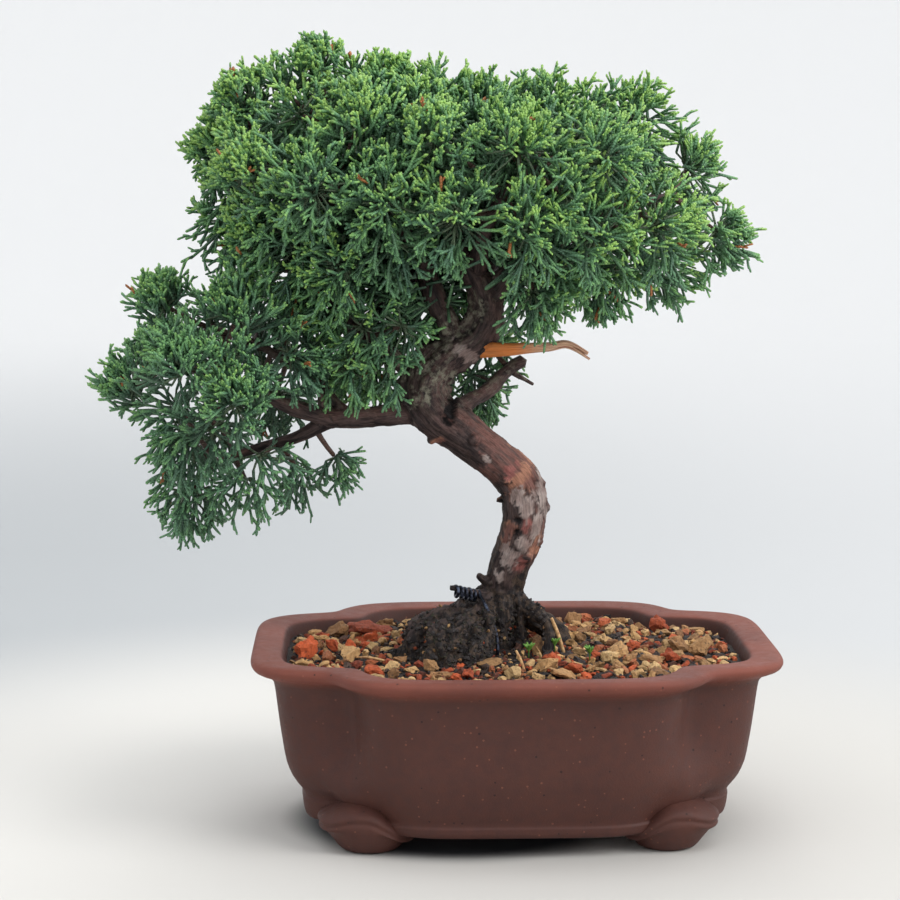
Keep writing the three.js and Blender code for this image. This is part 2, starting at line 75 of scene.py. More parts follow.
def pot_middle() -> Array:
    """The pot's middle in the row frame, in metres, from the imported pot's box."""
    low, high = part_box("pot")
    return np.array([(low.x + high.x) / 2, (low.y + high.y) / 2, 0.0])


POT_MIDDLE = pot_middle()


# Shapes as arrays


def unit(vectors: Array) -> Array:
    """Each vector of the last axis at length one."""
    return vectors / np.maximum(np.linalg.norm(vectors, axis=-1, keepdims=True), 1e-9)


def eased(values: Array, low: float, high: float) -> Array:
    """Smoothstep: 0 below low, 1 above high, and 3t^2 - 2t^3 between them."""
    share = np.clip((values - low) / (high - low), 0.0, 1.0)
    return share * share * (3.0 - 2.0 * share)


def lattice_noise(points: Array, seed: int) -> Array:
    """Smooth noise from -1 to 1 with cells one unit wide.

    Every corner of the unit lattice gets a height by mixing its three whole numbers, and a point takes
    the eased blend of the eight corners round it.

    Args:
        points: Places, in cells, of shape (n, 3).
        seed: Which noise.

    Returns:
        The heights, of shape (n,).
    """
    cell = np.floor(points).astype(np.int64)
    part = points - cell
    part = part * part * (3.0 - 2.0 * part)
    total = np.zeros(len(points))
    for corner in np.array(np.meshgrid([0, 1], [0, 1], [0, 1])).T.reshape(-1, 3):
        place = (cell + corner + 4096).astype(np.uint64)
        mixed = place[:, 0] * np.uint64(374761393) + place[:, 1] * np.uint64(668265263)
        mixed = mixed + place[:, 2] * np.uint64(2246822519) + np.uint64(seed * 3266489917)
        mixed = (mixed ^ (mixed >> np.uint64(15))) * np.uint64(2654435761)
        mixed = (mixed ^ (mixed >> np.uint64(13))) & np.uint64(0xFFFFFF)
        height = mixed.astype(float) / 0x7FFFFF - 1.0
        total += height * np.prod(np.where(corner == 1, part, 1.0 - part), axis=1)
    return total


def fractal_noise(points: Array, octaves: int, seed: int) -> Array:
    """Layers of lattice noise, each twice as fine and half as strong as the one before."""
    total = np.zeros(len(points))
    for octave in range(octaves):
        total += lattice_noise(points * 2.0**octave, seed + octave) * 0.5**octave
    return total


def band(values: Array, rise: tuple[float, float], fall: tuple[float, float]) -> Array:
    """Eased up from 0 to 1 over the first pair of values, and down again over the second."""
    return eased(values, *rise) * (1.0 - eased(values, *fall))


def walk(line: Array) -> Array:
    """How far each point of a line lies along it from its first point."""
    steps = np.linalg.norm(np.diff(line, axis=-2), axis=-1)
    return np.concatenate([np.zeros((*steps.shape[:-1], 1)), np.cumsum(steps, axis=-1)], axis=-1)


def curve_through(knots: Array, per_span: int) -> Array:
    """Points on the Catmull-Rom curve through the knots, whose columns may be more than x, y and z.

    Between two knots b and c with neighbours a and d the point at share t is half of
    2b + (c - a)t + (2a - 5b + 4c - d)t^2 + (3b - a - 3c + d)t^3.

    Args:
        knots: The knots, of shape (n, columns).
        per_span: Points for each span between two knots.

    Returns:
        An array of ((n - 1) * per_span + 1, columns).
    """
    first = 2.0 * knots[:1] - knots[1:2]
    last = 2.0 * knots[-1:] - knots[-2:-1]
    row = np.concatenate([first, knots, last])[:, None, :]
    a, b, c, d = row[:-3], row[1:-2], row[2:-1], row[3:]
    t = np.linspace(0.0, 1.0, per_span, endpoint=False)[None, :, None]
    spans = b + 0.5 * ((c - a) * t + (2 * a - 5 * b + 4 * c - d) * t**2 + (3 * b - a - 3 * c + d) * t**3)
    return np.concatenate([spans.reshape(-1, knots.shape[1]), knots[-1:]])


@dataclass
class Shell:
    """A surface in the making.

    Attributes:
        points: Vertices in millimetres, pot frame, of shape (n, 3).
        faces: Arrays of vertex numbers, of shape (k, 3) or (k, 4).
        marks: Values for each vertex that the finishes read, by name.
        smooth: Whether its shading runs over the edges.
    """

    points: Array
    faces: list[Array]
    marks: dict[str, Array] = field(default_factory=dict)
    smooth: bool = True

    @staticmethod
    def joined(shells: list["Shell"]) -> "Shell":
        """One shell of several, with a mark that a shell lacks at 0."""
        names = {name: marks.shape[1:] for shell in shells for name, marks in shell.marks.items()}
        faces = []
        start = 0
        for shell in shells:
            faces += [part + start for part in shell.faces]
            start += len(shell.points)
        marks = {
            name: np.concatenate([s.marks.get(name, np.zeros((len(s.points), *shape))) for s in shells])
            for name, shape in names.items()
        }
        return Shell(np.concatenate([s.points for s in shells]), faces, marks)

    def marked(self, **marks: Array | float) -> "Shell":
        """The same shell with these marks set, a single number on every vertex."""
        for name, value in marks.items():
            shape = (len(self.points), *np.shape(value)[1:])
            self.marks[name] = np.broadcast_to(value, shape).astype(float)
        return self

    def mesh(self, name: str) -> bpy.types.Mesh:
        """The Blender mesh, in metres in the row frame, with the marks as attributes."""
        mesh = bpy.data.meshes.new(name)
        placed = self.points * MM + POT_MIDDLE
        mesh.vertices.add(len(placed))
        mesh.vertices.foreach_set("co", placed.astype(np.float32).ravel())
        corners = np.concatenate([part.ravel() for part in self.faces])
        sizes = np.concatenate([np.full(len(part), part.shape[1]) for part in self.faces])
        mesh.loops.add(len(corners))
        mesh.loops.foreach_set("vertex_index", corners.astype(np.int32))
        mesh.polygons.add(len(sizes))
        mesh.polygons.foreach_set("loop_start", (np.cumsum(sizes) - sizes).astype(np.int32))
        mesh.polygons.foreach_set("use_smooth", np.full(len(sizes), self.smooth))
        mesh.update(calc_edges=True)
        for mark, values in self.marks.items():
            kind, key = ("FLOAT_VECTOR", "vector") if values.ndim == 2 else ("FLOAT", "value")
            attribute = mesh.attributes.new(mark, kind, "POINT")
            attribute.data.foreach_set(key, values.astype(np.float32).ravel())
        return mesh


def linked(name: str, data: bpy.types.ID) -> bpy.types.Object:
    """A new object of this data, in the scene."""
    thing = bpy.data.objects.new(name, data)
    bpy.context.scene.collection.objects.link(thing)
    return thing


def worked(thing: bpy.types.Object, kind: str, **settings: object) -> bpy.types.Mesh:
    """The mesh that a modifier of this kind and these settings makes of an object."""
    modifier = thing.modifiers.new(kind.lower(), kind)
    for name, value in settings.items():
        setattr(modifier, name, value)
    bpy.context.view_layer.update()
    mesh = bpy.data.meshes.new_from_object(thing.evaluated_get(bpy.context.evaluated_depsgraph_get()))
    thing.modifiers.clear()
    return mesh


def points_of(mesh: bpy.types.Mesh) -> Array:
    """A mesh's vertices in millimetres, pot frame."""
    places = np.zeros(len(mesh.vertices) * 3, np.float32)
    mesh.vertices.foreach_get("co", places)
    return (places.reshape(-1, 3).astype(float) - POT_MIDDLE) / MM


def piece(shell: Shell, name: str, finish: "Finish", slot: str, *replaced: str) -> bpy.types.Object:
    """Makes the object of a shell, dresses it, and lets it ride on the part.

    Args:
        shell: The surface.
        name: The piece's name.
        finish: What it is finished in.
        slot: Not used.
        *replaced: CAD nodes that the piece stands for.

    Returns:
        The object.
    """
    thing = linked(name, shell.mesh(name))
    thing.data.materials.append(finish.material())
    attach(thing, "root")
    if replaced:
        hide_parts(*replaced)
    LOG.info("%s: %d triangles", name, sum(len(part) * (part.shape[1] - 2) for part in shell.faces))
    return thing


def grid_faces(rows: int, columns: int) -> Array:
    """Quads of a grid whose columns close on themselves, numbered row by row."""
    row = np.arange(rows - 1)[:, None] * columns
    here = np.arange(columns)[None, :]
    beside = (here + 1) % columns
    quads = np.stack([row + here, row + beside, row + columns + beside, row + columns + here], axis=-1)
    return quads.reshape(-1, 4)


def fan(first: int, columns: int, tip: int) -> Array:
    """Triangles from a ring, whose numbers start at first, to the tip after it."""
    here = np.arange(columns)
    return np.stack([first + here, first + (here + 1) % columns, np.full(columns, tip)], axis=-1)


def closed_grid(rings: Array, first: Array, last: Array) -> Shell:
    """A tube of rings that is closed by a fan to one point at each end.

    Args:
        rings: Ring points of shape (rows, columns, 3), turning left round the way they go.
        first: The point that closes the first ring.
        last: The point that closes the last ring.

    Returns:
        The shell: the ring points row by row, then the two end points.
    """
    rows, columns = rings.shape[:2]
    points = np.concatenate([rings.reshape(-1, 3), first[None, :], last[None, :]])
    start = fan(0, columns, rows * columns)[:, [1, 0, 2]]
    end = fan((rows - 1) * columns, columns, rows * columns + 1)
    return Shell(points, [grid_faces(rows, columns), start, end])


def tubes(lines: Array, radii: Array, sides: int, blunt: float, helper: Array | None = None) -> Shell:
    """Many round cords at once, each closed at both ends.

    A ring's points are its centre + radius * (cos(angle) * across + sin(angle) * up), with across and up
    square to the cord's run there. The last point stands blunt radii beyond the last ring. The root of a
    cord with three or four sides is closed by one face.

    Args:
        lines: Centres of the rings, of shape (cords, rings, 3).
        radii: Radii of the rings, of shape (cords, rings).
        sides: Points in a ring.
        blunt: How far the tip stands out, in radii.
        helper: A direction that no cord runs along, or None to pick an axis for each.

    Returns:
        The shell, with the marks "grown", 0 at the root and 1 at the tip, and "along", in millimetres.
    """
    cords, rings = radii.shape
    run = unit(np.gradient(lines, axis=1))
    if helper is None:
        helper = np.eye(3)[np.abs(run.mean(axis=1)).argmin(axis=1)][:, None, :]
    across = unit(np.cross(run, helper))
    up = np.cross(run, across)
    angle = (np.arange(sides) / sides * TURN)[:, None]
    spoke = np.cos(angle) * across[:, :, None, :] + np.sin(angle) * up[:, :, None, :]
    ring = lines[:, :, None, :] + radii[:, :, None, None] * spoke
    tip = lines[:, -1] + run[:, -1] * radii[:, -1:] * blunt
    points = np.concatenate([ring.reshape(cords, -1, 3), tip[:, None, :], lines[:, :1]], axis=1)
    slim = sides <= 4
    each = points.shape[1] - int(slim)
    points = points[:, :each]
    end = fan((rings - 1) * sides, sides, rings * sides)
    start = np.arange(sides)[None, ::-1] if slim else fan(0, sides, rings * sides + 1)[:, [1, 0, 2]]
    shift = (np.arange(cords) * each)[:, None, None]
    kinds = (grid_faces(rings, sides), end, start)
    faces = [(kind[None] + shift).reshape(-1, kind.shape[1]) for kind in kinds]
    walked = walk(lines)
    whole = walked[:, -1:]
    along = np.concatenate([np.repeat(walked, sides, axis=1), whole, walked[:, :1]], axis=1)[:, :each]
    marks = {"along": along.ravel(), "grown": (along / np.maximum(whole, 1e-6)).ravel()}
    return Shell(points.reshape(-1, 3), faces, marks)


# Finishes


@dataclass
class Wiring:
    """A node tree being wired, with one short method for each kind of node in use."""

    tree: bpy.types.NodeTree

    def feed(self, socket: Socket, value: Fed) -> None:
        """Links a socket to another one or to the mark of that name, or sets it to a number or colour."""
        if isinstance(value, str):
            value = self.add("ShaderNodeAttribute", attribute_name=value).outputs["Fac"]
        if isinstance(value, Socket):
            self.tree.links.new(value, socket)
        elif isinstance(value, tuple) and socket.type == "RGBA":
            socket.default_value = (*value, 1.0)
        else:
            socket.default_value = value

    def add(self, kind: str, fed: dict[str | int, Fed] | None = None, **settings: object) -> bpy.types.Node:
        """A new node of that kind with its settings, and its inputs fed by name or number."""
        node = self.tree.nodes.new(kind)
        for name, value in settings.items():
            setattr(node, name, value)
        for key, value in (fed or {}).items():
            self.feed(node.inputs[key], value)
        return node

    def place(self, name: str = "") -> Socket:
        """A vertex mark as a vector, or the place on the object in metres."""
        if name:
            return self.add("ShaderNodeAttribute", attribute_name=name).outputs["Vector"]
        return self.add("ShaderNodeTexCoord").outputs["Object"]

    def noise(self, vector: Fed, scale: Fed, detail: float = 3.0, roughness: float = 0.55) -> Socket:
        """Noise of 0 to 1."""
        inputs = {"Vector": vector, "Scale": scale, "Detail": detail, "Roughness": roughness}
        return self.add("ShaderNodeTexNoise", inputs).outputs["Fac"]

    def ramp(self, share: Fed, *stops: tuple[float, Colour]) -> Socket:
        """A colour ramp over these stops."""
        node = self.add("ShaderNodeValToRGB", {"Fac": share})
        elements = node.color_ramp.elements
        while len(elements) < len(stops):
            elements.new(0.5)
        for element, (position, colour) in zip(elements, stops):
            element.position = position
            element.color = (*colour, 1.0)
        return node.outputs["Color"]

    def mix(self, share: Fed, under: Fed, over: Fed, way: str = "MIX") -> Socket:
        """Colour under with colour over laid on it by share."""
        inputs = {"Factor": share, 6: under, 7: over}
        return self.add("ShaderNodeMix", inputs, data_type="RGBA", blend_type=way).outputs[2]

    def shaded(self, base: Fed, shade: Fed) -> Socket:
        """A colour times a shade."""
        return self.mix(1.0, base, shade, "MULTIPLY")

    def number(self, way: str, first: Fed, second: Fed = 0.0) -> Socket:
        """A Math node of that way."""
        return self.add("ShaderNodeMath", {0: first, 1: second, 2: 0.0}, operation=way).outputs[0]

    def times(self, first: Fed, second: Fed) -> Socket:
        """A product."""
        return self.number("MULTIPLY", first, second)

    def between(self, value: Fed, low: Fed, high: Fed, first: float = 0.0, last: float = 1.0) -> Socket:
        """Maps a value from low..high to first..last, smoothly and held at the ends."""
        inputs = dict(enumerate((value, low, high, first, last)))
        return self.add("ShaderNodeMapRange", inputs, interpolation_type="SMOOTHSTEP").outputs[0]

    def length(self, vector: Fed) -> Socket:
        """How long a vector is."""
        return self.add("ShaderNodeVectorMath", {0: vector}, operation="LENGTH").outputs["Value"]

    def group(self, tree: bpy.types.NodeTree, **values: Fed) -> Socket:
        """Places a shared group with its own values, and gives its output."""
        return self.add("ShaderNodeGroup", values, node_tree=tree).outputs[0]


Given = bpy.types.bpy_prop_collection
Recipe = Callable[[Wiring, Given], Socket]


def shared_group(name: str, recipe: Recipe, **inputs: float) -> bpy.types.NodeTree:
    """A shared node group with a Vector, numbers of these names and first values, and one output, Mask."""
    tree = bpy.data.node_groups.new(name, "ShaderNodeTree")
    tree.interface.new_socket(name="Vector", in_out="INPUT", socket_type="NodeSocketVector")
    for title, value in inputs.items():
        socket = tree.interface.new_socket(name=title, in_out="INPUT", socket_type="NodeSocketFloat")
        socket.default_value = value
    tree.interface.new_socket(name="Mask", in_out="OUTPUT", socket_type="NodeSocketFloat")
    wiring = Wiring(tree)
    mask = recipe(wiring, wiring.add("NodeGroupInput").outputs)
    wiring.add("NodeGroupOutput", {"Mask": mask})
    return tree


def specks(wiring: Wiring, given: Given) -> Socket:
    """Small round specks: 1 inside a speck, where a random share of the cells has one."""
    cells = wiring.add("ShaderNodeTexVoronoi", {"Vector": given["Vector"], "Scale": given["Scale"]})
    edge = wiring.number("LESS_THAN", cells.outputs["Distance"], given["Size"])
    pick = wiring.add("ShaderNodeSeparateColor", {0: cells.outputs["Color"]})
    return wiring.times(edge, wiring.number("LESS_THAN", pick.outputs[0], given["Share"]))


def patches(wiring: Wiring, given: Given) -> Socket:
    """Soft-edged patches where a noise rises over a height: 1 well inside a patch."""
    cloud = wiring.noise(given["Vector"], given["Scale"], 4.0, 0.6)
    low, high = (wiring.number(way, given["Height"], given["Edge"]) for way in ("SUBTRACT", "ADD"))
    return wiring.between(cloud, low, high)


def fibres(wiring: Wiring, given: Given) -> Socket:
    """Fibres that run along a limb: a noise read at (along / Length, across / Width, up / Width)."""
    split = wiring.add("ShaderNodeSeparateXYZ", {0: given["Vector"]}).outputs
    sizes = enumerate(("Length", "Width", "Width"))
    scaled = {axis: wiring.number("DIVIDE", split[axis], given[size]) for axis, size in sizes}
    return wiring.noise(wiring.add("ShaderNodeCombineXYZ", scaled).outputs[0], 1.0, 4.0, 0.6)


SPECKS = shared_group("specks", specks, Scale=500.0, Size=0.25, Share=0.3)
PATCHES = shared_group("patches", patches, Scale=80.0, Height=0.5, Edge=0.05)
FIBRES = shared_group("fibres", fibres, Length=10.0, Width=1.0)


@dataclass(frozen=True)
class Coat:
    """What a finish gives the shader. Its height of 0 to 1 is a relief of this depth in millimetres."""

    colour: Fed
    roughness: Fed
    height: Fed | None = None
    depth: float = 0.0
    shine: float = 0.5
    metal: float = 0.0


@dataclass(frozen=True)
class Finish:
    """What a piece is finished in. Each kind of finish wires its own coat."""

    name: str

    def coat(self, wiring: Wiring) -> Coat:
        """Wires colour, roughness and relief."""
        raise NotImplementedError

    def material(self) -> bpy.types.Material:
        """The material, made the first time that it is asked for."""
        known = bpy.data.materials.get(self.name)
        if known:
            return known
        made = bpy.data.materials.new(self.name)
        made.use_nodes = True
        made.node_tree.nodes.clear()
        wiring = Wiring(made.node_tree)
        coat = self.coat(wiring)
        inputs = {"Base Color": coat.colour, "Roughness": coat.roughness, "Metallic": coat.metal}
        inputs["Specular IOR Level"] = coat.shine
        if coat.height is not None:
            bump = wiring.add("ShaderNodeBump", {"Distance": coat.depth * MM, "Height": coat.height})
            inputs["Normal"] = bump.outputs["Normal"]
        shader = wiring.add("ShaderNodeBsdfPrincipled", inputs)
        wiring.add("ShaderNodeOutputMaterial", {"Surface": shader.outputs["BSDF"]})
        return made


@dataclass(frozen=True)
class ClayFinish(Finish):
    """Unglazed fired clay: redder on the lip and painted lighter there as light from above, brown on the
    wall, faintly mottled and specked.
    """

    wall: Colour = paint(76, 46, 40)
    # The lip's colour is painted lighter, as the light from above falls on it.
    lip: Colour = paint(124, 68, 56)
    inside: Colour = paint(70, 44, 40)
    dusk: Colour = paint(62, 38, 37)
    pale_speck: Colour = paint(150, 92, 72)
    dark_speck: Colour = paint(34, 24, 24)

    def coat(self, wiring: Wiring) -> Coat:
        """Wall, lip and inside by the marks "lip" and "inside", with the lip painted lighter as light from
        above, then mottling and specks.
        """
        place = wiring.place()
        mottle = wiring.group(PATCHES, Vector=place, Scale=38.0, Height=0.52, Edge=0.25)
        cloud = wiring.group(PATCHES, Vector=place, Scale=260.0, Height=0.5, Edge=0.3)
        base = wiring.mix("lip", self.wall, self.lip)
        base = wiring.mix("inside", base, self.inside)
        base = wiring.mix(mottle, base, wiring.mix(0.4, base, self.dusk))
        base = wiring.mix(wiring.times(cloud, 0.3), base, wiring.mix(0.3, base, self.pale_speck))
        pale = wiring.group(SPECKS, Vector=place, Scale=420.0, Size=0.17, Share=0.2)
        dark = wiring.group(SPECKS, Vector=place, Scale=330.0, Size=0.16, Share=0.13)
        base = wiring.mix(wiring.times(pale, 0.4), base, self.pale_speck)
        base = wiring.mix(wiring.times(dark, 0.7), base, self.dark_speck)
        height = wiring.number("SUBTRACT", wiring.noise(place, 1300.0, 4.0, 0.65), wiring.times(dark, 0.8))
        return Coat(base, wiring.between(cloud, 0.0, 1.0, 0.56, 0.7), height, 0.13, shine=0.3)


@dataclass(frozen=True)
class BarkFinish(Finish):
    """Flaking juniper bark.

    It reads the marks "bark", the place along and round the limb in millimetres, "red_bark_and_light" for red
    bark and for painted light on the faces that look up and to the right, "rosy" for fresh pink bark, "rust"
    for orange bark, "pale" for grey plates, "lichen" for crusts, "pit" for black hollows, and "damp" for the
    dark foot and for painted shade on the left edge of the low trunk's front.
    """

    deep: Colour = paint(36, 28, 29)
    plain: Colour = paint(82, 66, 63)
    red: Colour = paint(118, 80, 72)
    rose: Colour = paint(140, 86, 80)
    orange: Colour = paint(164, 116, 94)
    plate: Colour = paint(134, 114, 108)
    grey: Colour = paint(166, 152, 146)
    lichen: Colour = paint(128, 124, 108)
    black: Colour = paint(20, 16, 17)
    wet_and_shade: Colour = paint(30, 25, 26)
    wet_and_shade_fleck: Colour = paint(74, 60, 50)

    def coat(self, wiring: Wiring) -> Coat:
        """Fibres of two widths tint and raise the bark, and the marks lay on its patches."""
        place = wiring.place("bark")
        wide = wiring.group(FIBRES, Vector=place, Length=14.0, Width=2.4)
        fine = wiring.group(FIBRES, Vector=place, Length=4.0, Width=0.55)
        fleck = wiring.group(PATCHES, Vector=wiring.place(), Scale=420.0, Height=0.52, Edge=0.1)
        cloud = wiring.noise(wiring.place(), 160.0, 3.0)
        base = wiring.mix(wiring.between(wide, 0.36, 0.6), self.deep, self.plain)
        # Red bark, laid also as painted light on the faces that look up and to the right.
        red_bark_and_light = wiring.mix(wiring.between(wide, 0.3, 0.62), self.plain, self.red)
        rust = wiring.mix(wiring.between(cloud, 0.35, 0.65), self.red, self.orange)
        pale = wiring.mix(wiring.between(cloud, 0.35, 0.7), self.plate, self.grey)
        for mark, colour in (("red_bark_and_light", red_bark_and_light), ("rust", rust), ("rosy", self.rose), ("pale", pale)):
            base = wiring.mix(mark, base, colour)
        base = wiring.mix(wiring.times("lichen", fleck), base, self.lichen)
        # The damp foot, and the painted shade on the left edge of the low trunk, in wet dark colours.
        base = wiring.mix("damp", base, wiring.mix(fleck, self.wet_and_shade, self.wet_and_shade_fleck))
        base = wiring.shaded(base, wiring.between(fine, 0.3, 0.66, 0.62, 1.12))
        base = wiring.mix("pit", base, self.black)
        height = wiring.number("ADD", wiring.times(wide, 0.6), wiring.times(fine, 0.5))
        return Coat(base, wiring.between(fine, 0.3, 0.7, 0.82, 0.6), height, 0.5, shine=0.3)


@dataclass(frozen=True)
class DeadWoodFinish(Finish):
    """A stripped branch: orange at its root, pale tan at the split end, with red lines along the grain."""

    root: Colour = paint(214, 128, 62)
    end: Colour = paint(208, 168, 138)
    line: Colour = paint(150, 72, 56)

    def coat(self, wiring: Wiring) -> Coat:
        """The mark "grown" turns the colour and the fibres draw the grain."""
        grain = wiring.group(FIBRES, Vector=wiring.place("bark"), Length=14.0, Width=0.55)
        grown = "grown"
        base = wiring.mix(wiring.between(grown, 0.3, 0.62), self.root, self.end)
        split = wiring.times(wiring.between(grain, 0.5, 0.4), wiring.between(grown, 0.2, 0.9))
        base = wiring.shaded(wiring.mix(split, base, self.line), wiring.between(grain, 0.3, 0.7, 0.75, 1.1))
        return Coat(base, 0.62, grain, 0.35)


@dataclass(frozen=True)
class FoliageFinish(Finish):
    """Scale foliage: painted shade in dark blue-green inside, mid green cords, yellow-green tips, a few dead
    brown ones.

    It reads the marks "tip", 0 deep inside and 1 on an outer tip, which holds the young tips as well as
    painted shade deep in the mass and painted light on a tuft's upper outer side, "tone", a random share for
    each spray and cord, "along" in millimetres for the rows of scales, and "wood" for the twig.
    """

    # depth is the painted shade deep inside the foliage.
    depth: Colour = paint(80, 106, 86)
    body: Colour = paint(104, 148, 104)
    young: Colour = paint(118, 166, 98)
    tip: Colour = paint(150, 190, 98)
    blue: Colour = paint(92, 138, 112)
    dead: Colour = paint(170, 108, 64)
    twig: Colour = paint(84, 62, 54)
    scale_length: float = 1.15

    def coat(self, wiring: Wiring) -> Coat:
        """A ramp over "tip" that "tone" shifts, then blue shade, dead cords, twig and scale rows."""
        tone = "tone"
        tip = wiring.number("ADD", "tip", wiring.between(tone, 0.0, 1.0, -0.16, 0.16))
        base = wiring.ramp(tip, (0.04, self.depth), (0.36, self.body), (0.7, self.young), (1.0, self.tip))
        base = wiring.mix(wiring.between(tone, 0.5, 0.0, 0.0, 0.42), base, self.blue)
        base = wiring.mix(wiring.between(tone, 0.965, 0.975), base, self.dead)
        base = wiring.mix("wood", base, self.twig)
        scales = wiring.number("SINE", wiring.times("along", TURN / self.scale_length))
        base = wiring.shaded(base, wiring.between(scales, -1.0, 1.0, 0.86, 1.08))
        return Coat(base, 0.48, scales, 0.07, shine=0.4)


@dataclass(frozen=True)
class StoneFinish(Finish):
    """Pumice, lava and fired clay grit: the mark "tone" picks the kind, and pits and dust cover it."""

    kinds: tuple[tuple[float, Colour], ...] = (
        (0.0, paint(218, 182, 130)),
        (0.22, paint(196, 152, 100)),
        (0.4, paint(146, 106, 72)),
        (0.48, paint(198, 92, 50)),
        (0.64, paint(138, 62, 40)),
        (0.72, paint(80, 60, 50)),
        (0.86, paint(66, 60, 60)),
        (1.0, paint(34, 29, 30)),
    )
    pit: Colour = paint(52, 37, 29)

    def coat(self, wiring: Wiring) -> Coat:
        """A ramp over "tone", shaded by "shade", noise and pits."""
        place = wiring.place()
        cloud = wiring.noise(place, 700.0, 4.0, 0.65)
        pits = wiring.group(SPECKS, Vector=place, Scale=900.0, Size=0.3, Share=0.3)
        base = wiring.ramp("tone", *self.kinds)
        base = wiring.shaded(base, wiring.between(cloud, 0.3, 0.7, 0.72, 1.12))
        base = wiring.shaded(wiring.mix(wiring.times(pits, 0.6), base, self.pit), "shade")
        return Coat(base, 0.85, wiring.number("SUBTRACT", cloud, wiring.times(pits, 0.5)), 0.7)


@dataclass(frozen=True)
class SoilFinish(Finish):
    """Damp, nearly black soil with fine brown crumbs."""

    black: Colour = paint(24, 20, 20)
    dark: Colour = paint(46, 36, 33)
    brown: Colour = paint(58, 43, 34)

    def coat(self, wiring: Wiring) -> Coat:
        """Crumbs of two sizes tint and raise the soil."""
        place = wiring.place()
        crumb = wiring.noise(place, 900.0, 5.0, 0.7)
        spots = wiring.group(PATCHES, Vector=place, Scale=520.0, Height=0.58, Edge=0.06)
        base = wiring.mix(spots, wiring.mix(crumb, self.black, self.dark), self.brown)
        return Coat(base, wiring.between(crumb, 0.3, 0.7, 0.6, 0.92), crumb, 0.9)


@dataclass(frozen=True)
class WireFinish(Finish):
    """Black anodised wire with a worn blue-grey sheen."""

    black: Colour = paint(34, 36, 46)
    worn: Colour = paint(84, 92, 112)

    def coat(self, wiring: Wiring) -> Coat:
        """Scuffs lift the colour and the roughness."""
        scuff = wiring.group(PATCHES, Vector=wiring.place(), Scale=700.0, Height=0.55, Edge=0.1)
        base = wiring.mix(scuff, self.black, self.worn)
        rough = wiring.between(scuff, 0.0, 1.0, 0.3, 0.5)
        return Coat(base, rough, wiring.noise(wiring.place(), 900.0), 0.05, metal=0.7)


@dataclass(frozen=True)
class LeafletFinish(Finish):
    """A plain soft plant part, such as a seedling, a straw or moss, with a fine grain of its own colour."""

    colour: Colour
    shade: Colour

    def coat(self, wiring: Wiring) -> Coat:
        """A fine noise between the shade and the colour."""
        grain = wiring.noise(wiring.place(), 800.0, 3.0)
        return Coat(wiring.mix(wiring.between(grain, 0.3, 0.7), self.shade, self.colour), 0.6, grain, 0.08)


@dataclass(frozen=True)
class NettingFinish(Finish):
    """Moulded dark green netting, matte, with a faint moulding grain."""

    dark: Colour = paint(24, 44, 34)
    light: Colour = paint(44, 66, 50)

    def coat(self, wiring: Wiring) -> Coat:
        """A fine grain tints and raises the plastic."""
        grain = wiring.noise(wiring.place(), 1500.0)
        return Coat(wiring.mix(grain, self.dark, self.light), 0.55, grain, 0.05)


@dataclass(frozen=True)
class FloorFinish(Finish):
    """The pale matte backdrop with painted shade: darkest half way off, a little darker on the left and near
    the pot on the key light's side, and a painted contact shadow under the pot.
    """

    close: Colour = paint(214, 212, 208)
    # Painted shade near the pot on the key light's side.
    key_side_shade: Colour = paint(199, 197, 193)
    # Painted shade half way off, deeper on the left.
    left: Colour = paint(173, 176, 178)
    right: Colour = paint(195, 196, 197)
    far: Colour = paint(241, 241, 241)
    # Painted contact shadow under the pot.
    contact_shadow: Colour = paint(60, 62, 66)

    def coat(self, wiring: Wiring) -> Coat:
        """Blends painted shade over the distance from the origin and over x, with a painted contact shadow
        under the pot.
        """
        place = wiring.place()
        distance = wiring.length(place)
        along = wiring.add("ShaderNodeSeparateXYZ", {0: place}).outputs["X"]
        # Painted shade: near the pot darker on the key light's side, half way off darker still, most on the
        # left.
        near_shade = wiring.mix(wiring.between(along, -0.15, 0.15), self.close, self.key_side_shade)
        middle = wiring.mix(wiring.between(along, -0.3, 0.5), self.left, self.right)
        base = wiring.mix(wiring.between(distance, 0.2, 0.45), near_shade, middle)
        base = wiring.mix(wiring.between(distance, 0.6, 2.6), base, self.far)
        # Painted contact shadow, centred a little to the right under the pot.
        squeezed = {0: place, 1: (0.95, 1.0, 1.0), 2: (-0.01, 0.0, 0.0)}
        shadow_place = wiring.add("ShaderNodeVectorMath", squeezed, operation="MULTIPLY_ADD").outputs[0]
        base = wiring.mix(wiring.between(wiring.length(shadow_place), 0.07, 0.05), base, self.contact_shadow)
        return Coat(base, 0.85, shine=0.2)


CLAY = ClayFinish("unglazed_clay")
BARK = BarkFinish("juniper_bark")
DEAD_WOOD = DeadWoodFinish("stripped_wood")
FOLIAGE = FoliageFinish("scale_foliage")
STONE = StoneFinish("grit_stone")
SOIL = SoilFinish("damp_soil")
WIRE = WireFinish("anodised_wire")
MOSS = LeafletFinish("dark_moss", paint(62, 66, 44), paint(24, 26, 22))
SEEDLING = LeafletFinish("seedling_green", paint(112, 158, 62), paint(70, 116, 42))
STRAW = LeafletFinish("dry_straw", paint(214, 176, 122), paint(160, 112, 72))
NETTING = NettingFinish("moulded_netting")
FLOOR = FloorFinish("pale_floor")


# The pot


def lobed_angles(columns: int) -> Array:
    """Angles round the pot, closer together where its outline turns."""
    even = np.arange(columns) / columns * TURN
    return even + 0.14 * np.sin(4.0 * even)


def placed_round(angle: Array, radius: Numbers, height: Numbers = 0.0) -> Array:
    """Places (x, y, z) at these angles and distances round the middle, and at this height."""
    x, y = radius * np.cos(angle), radius * np.sin(angle)
    return np.stack([x, y, np.broadcast_to(height, x.shape)], axis=-1)


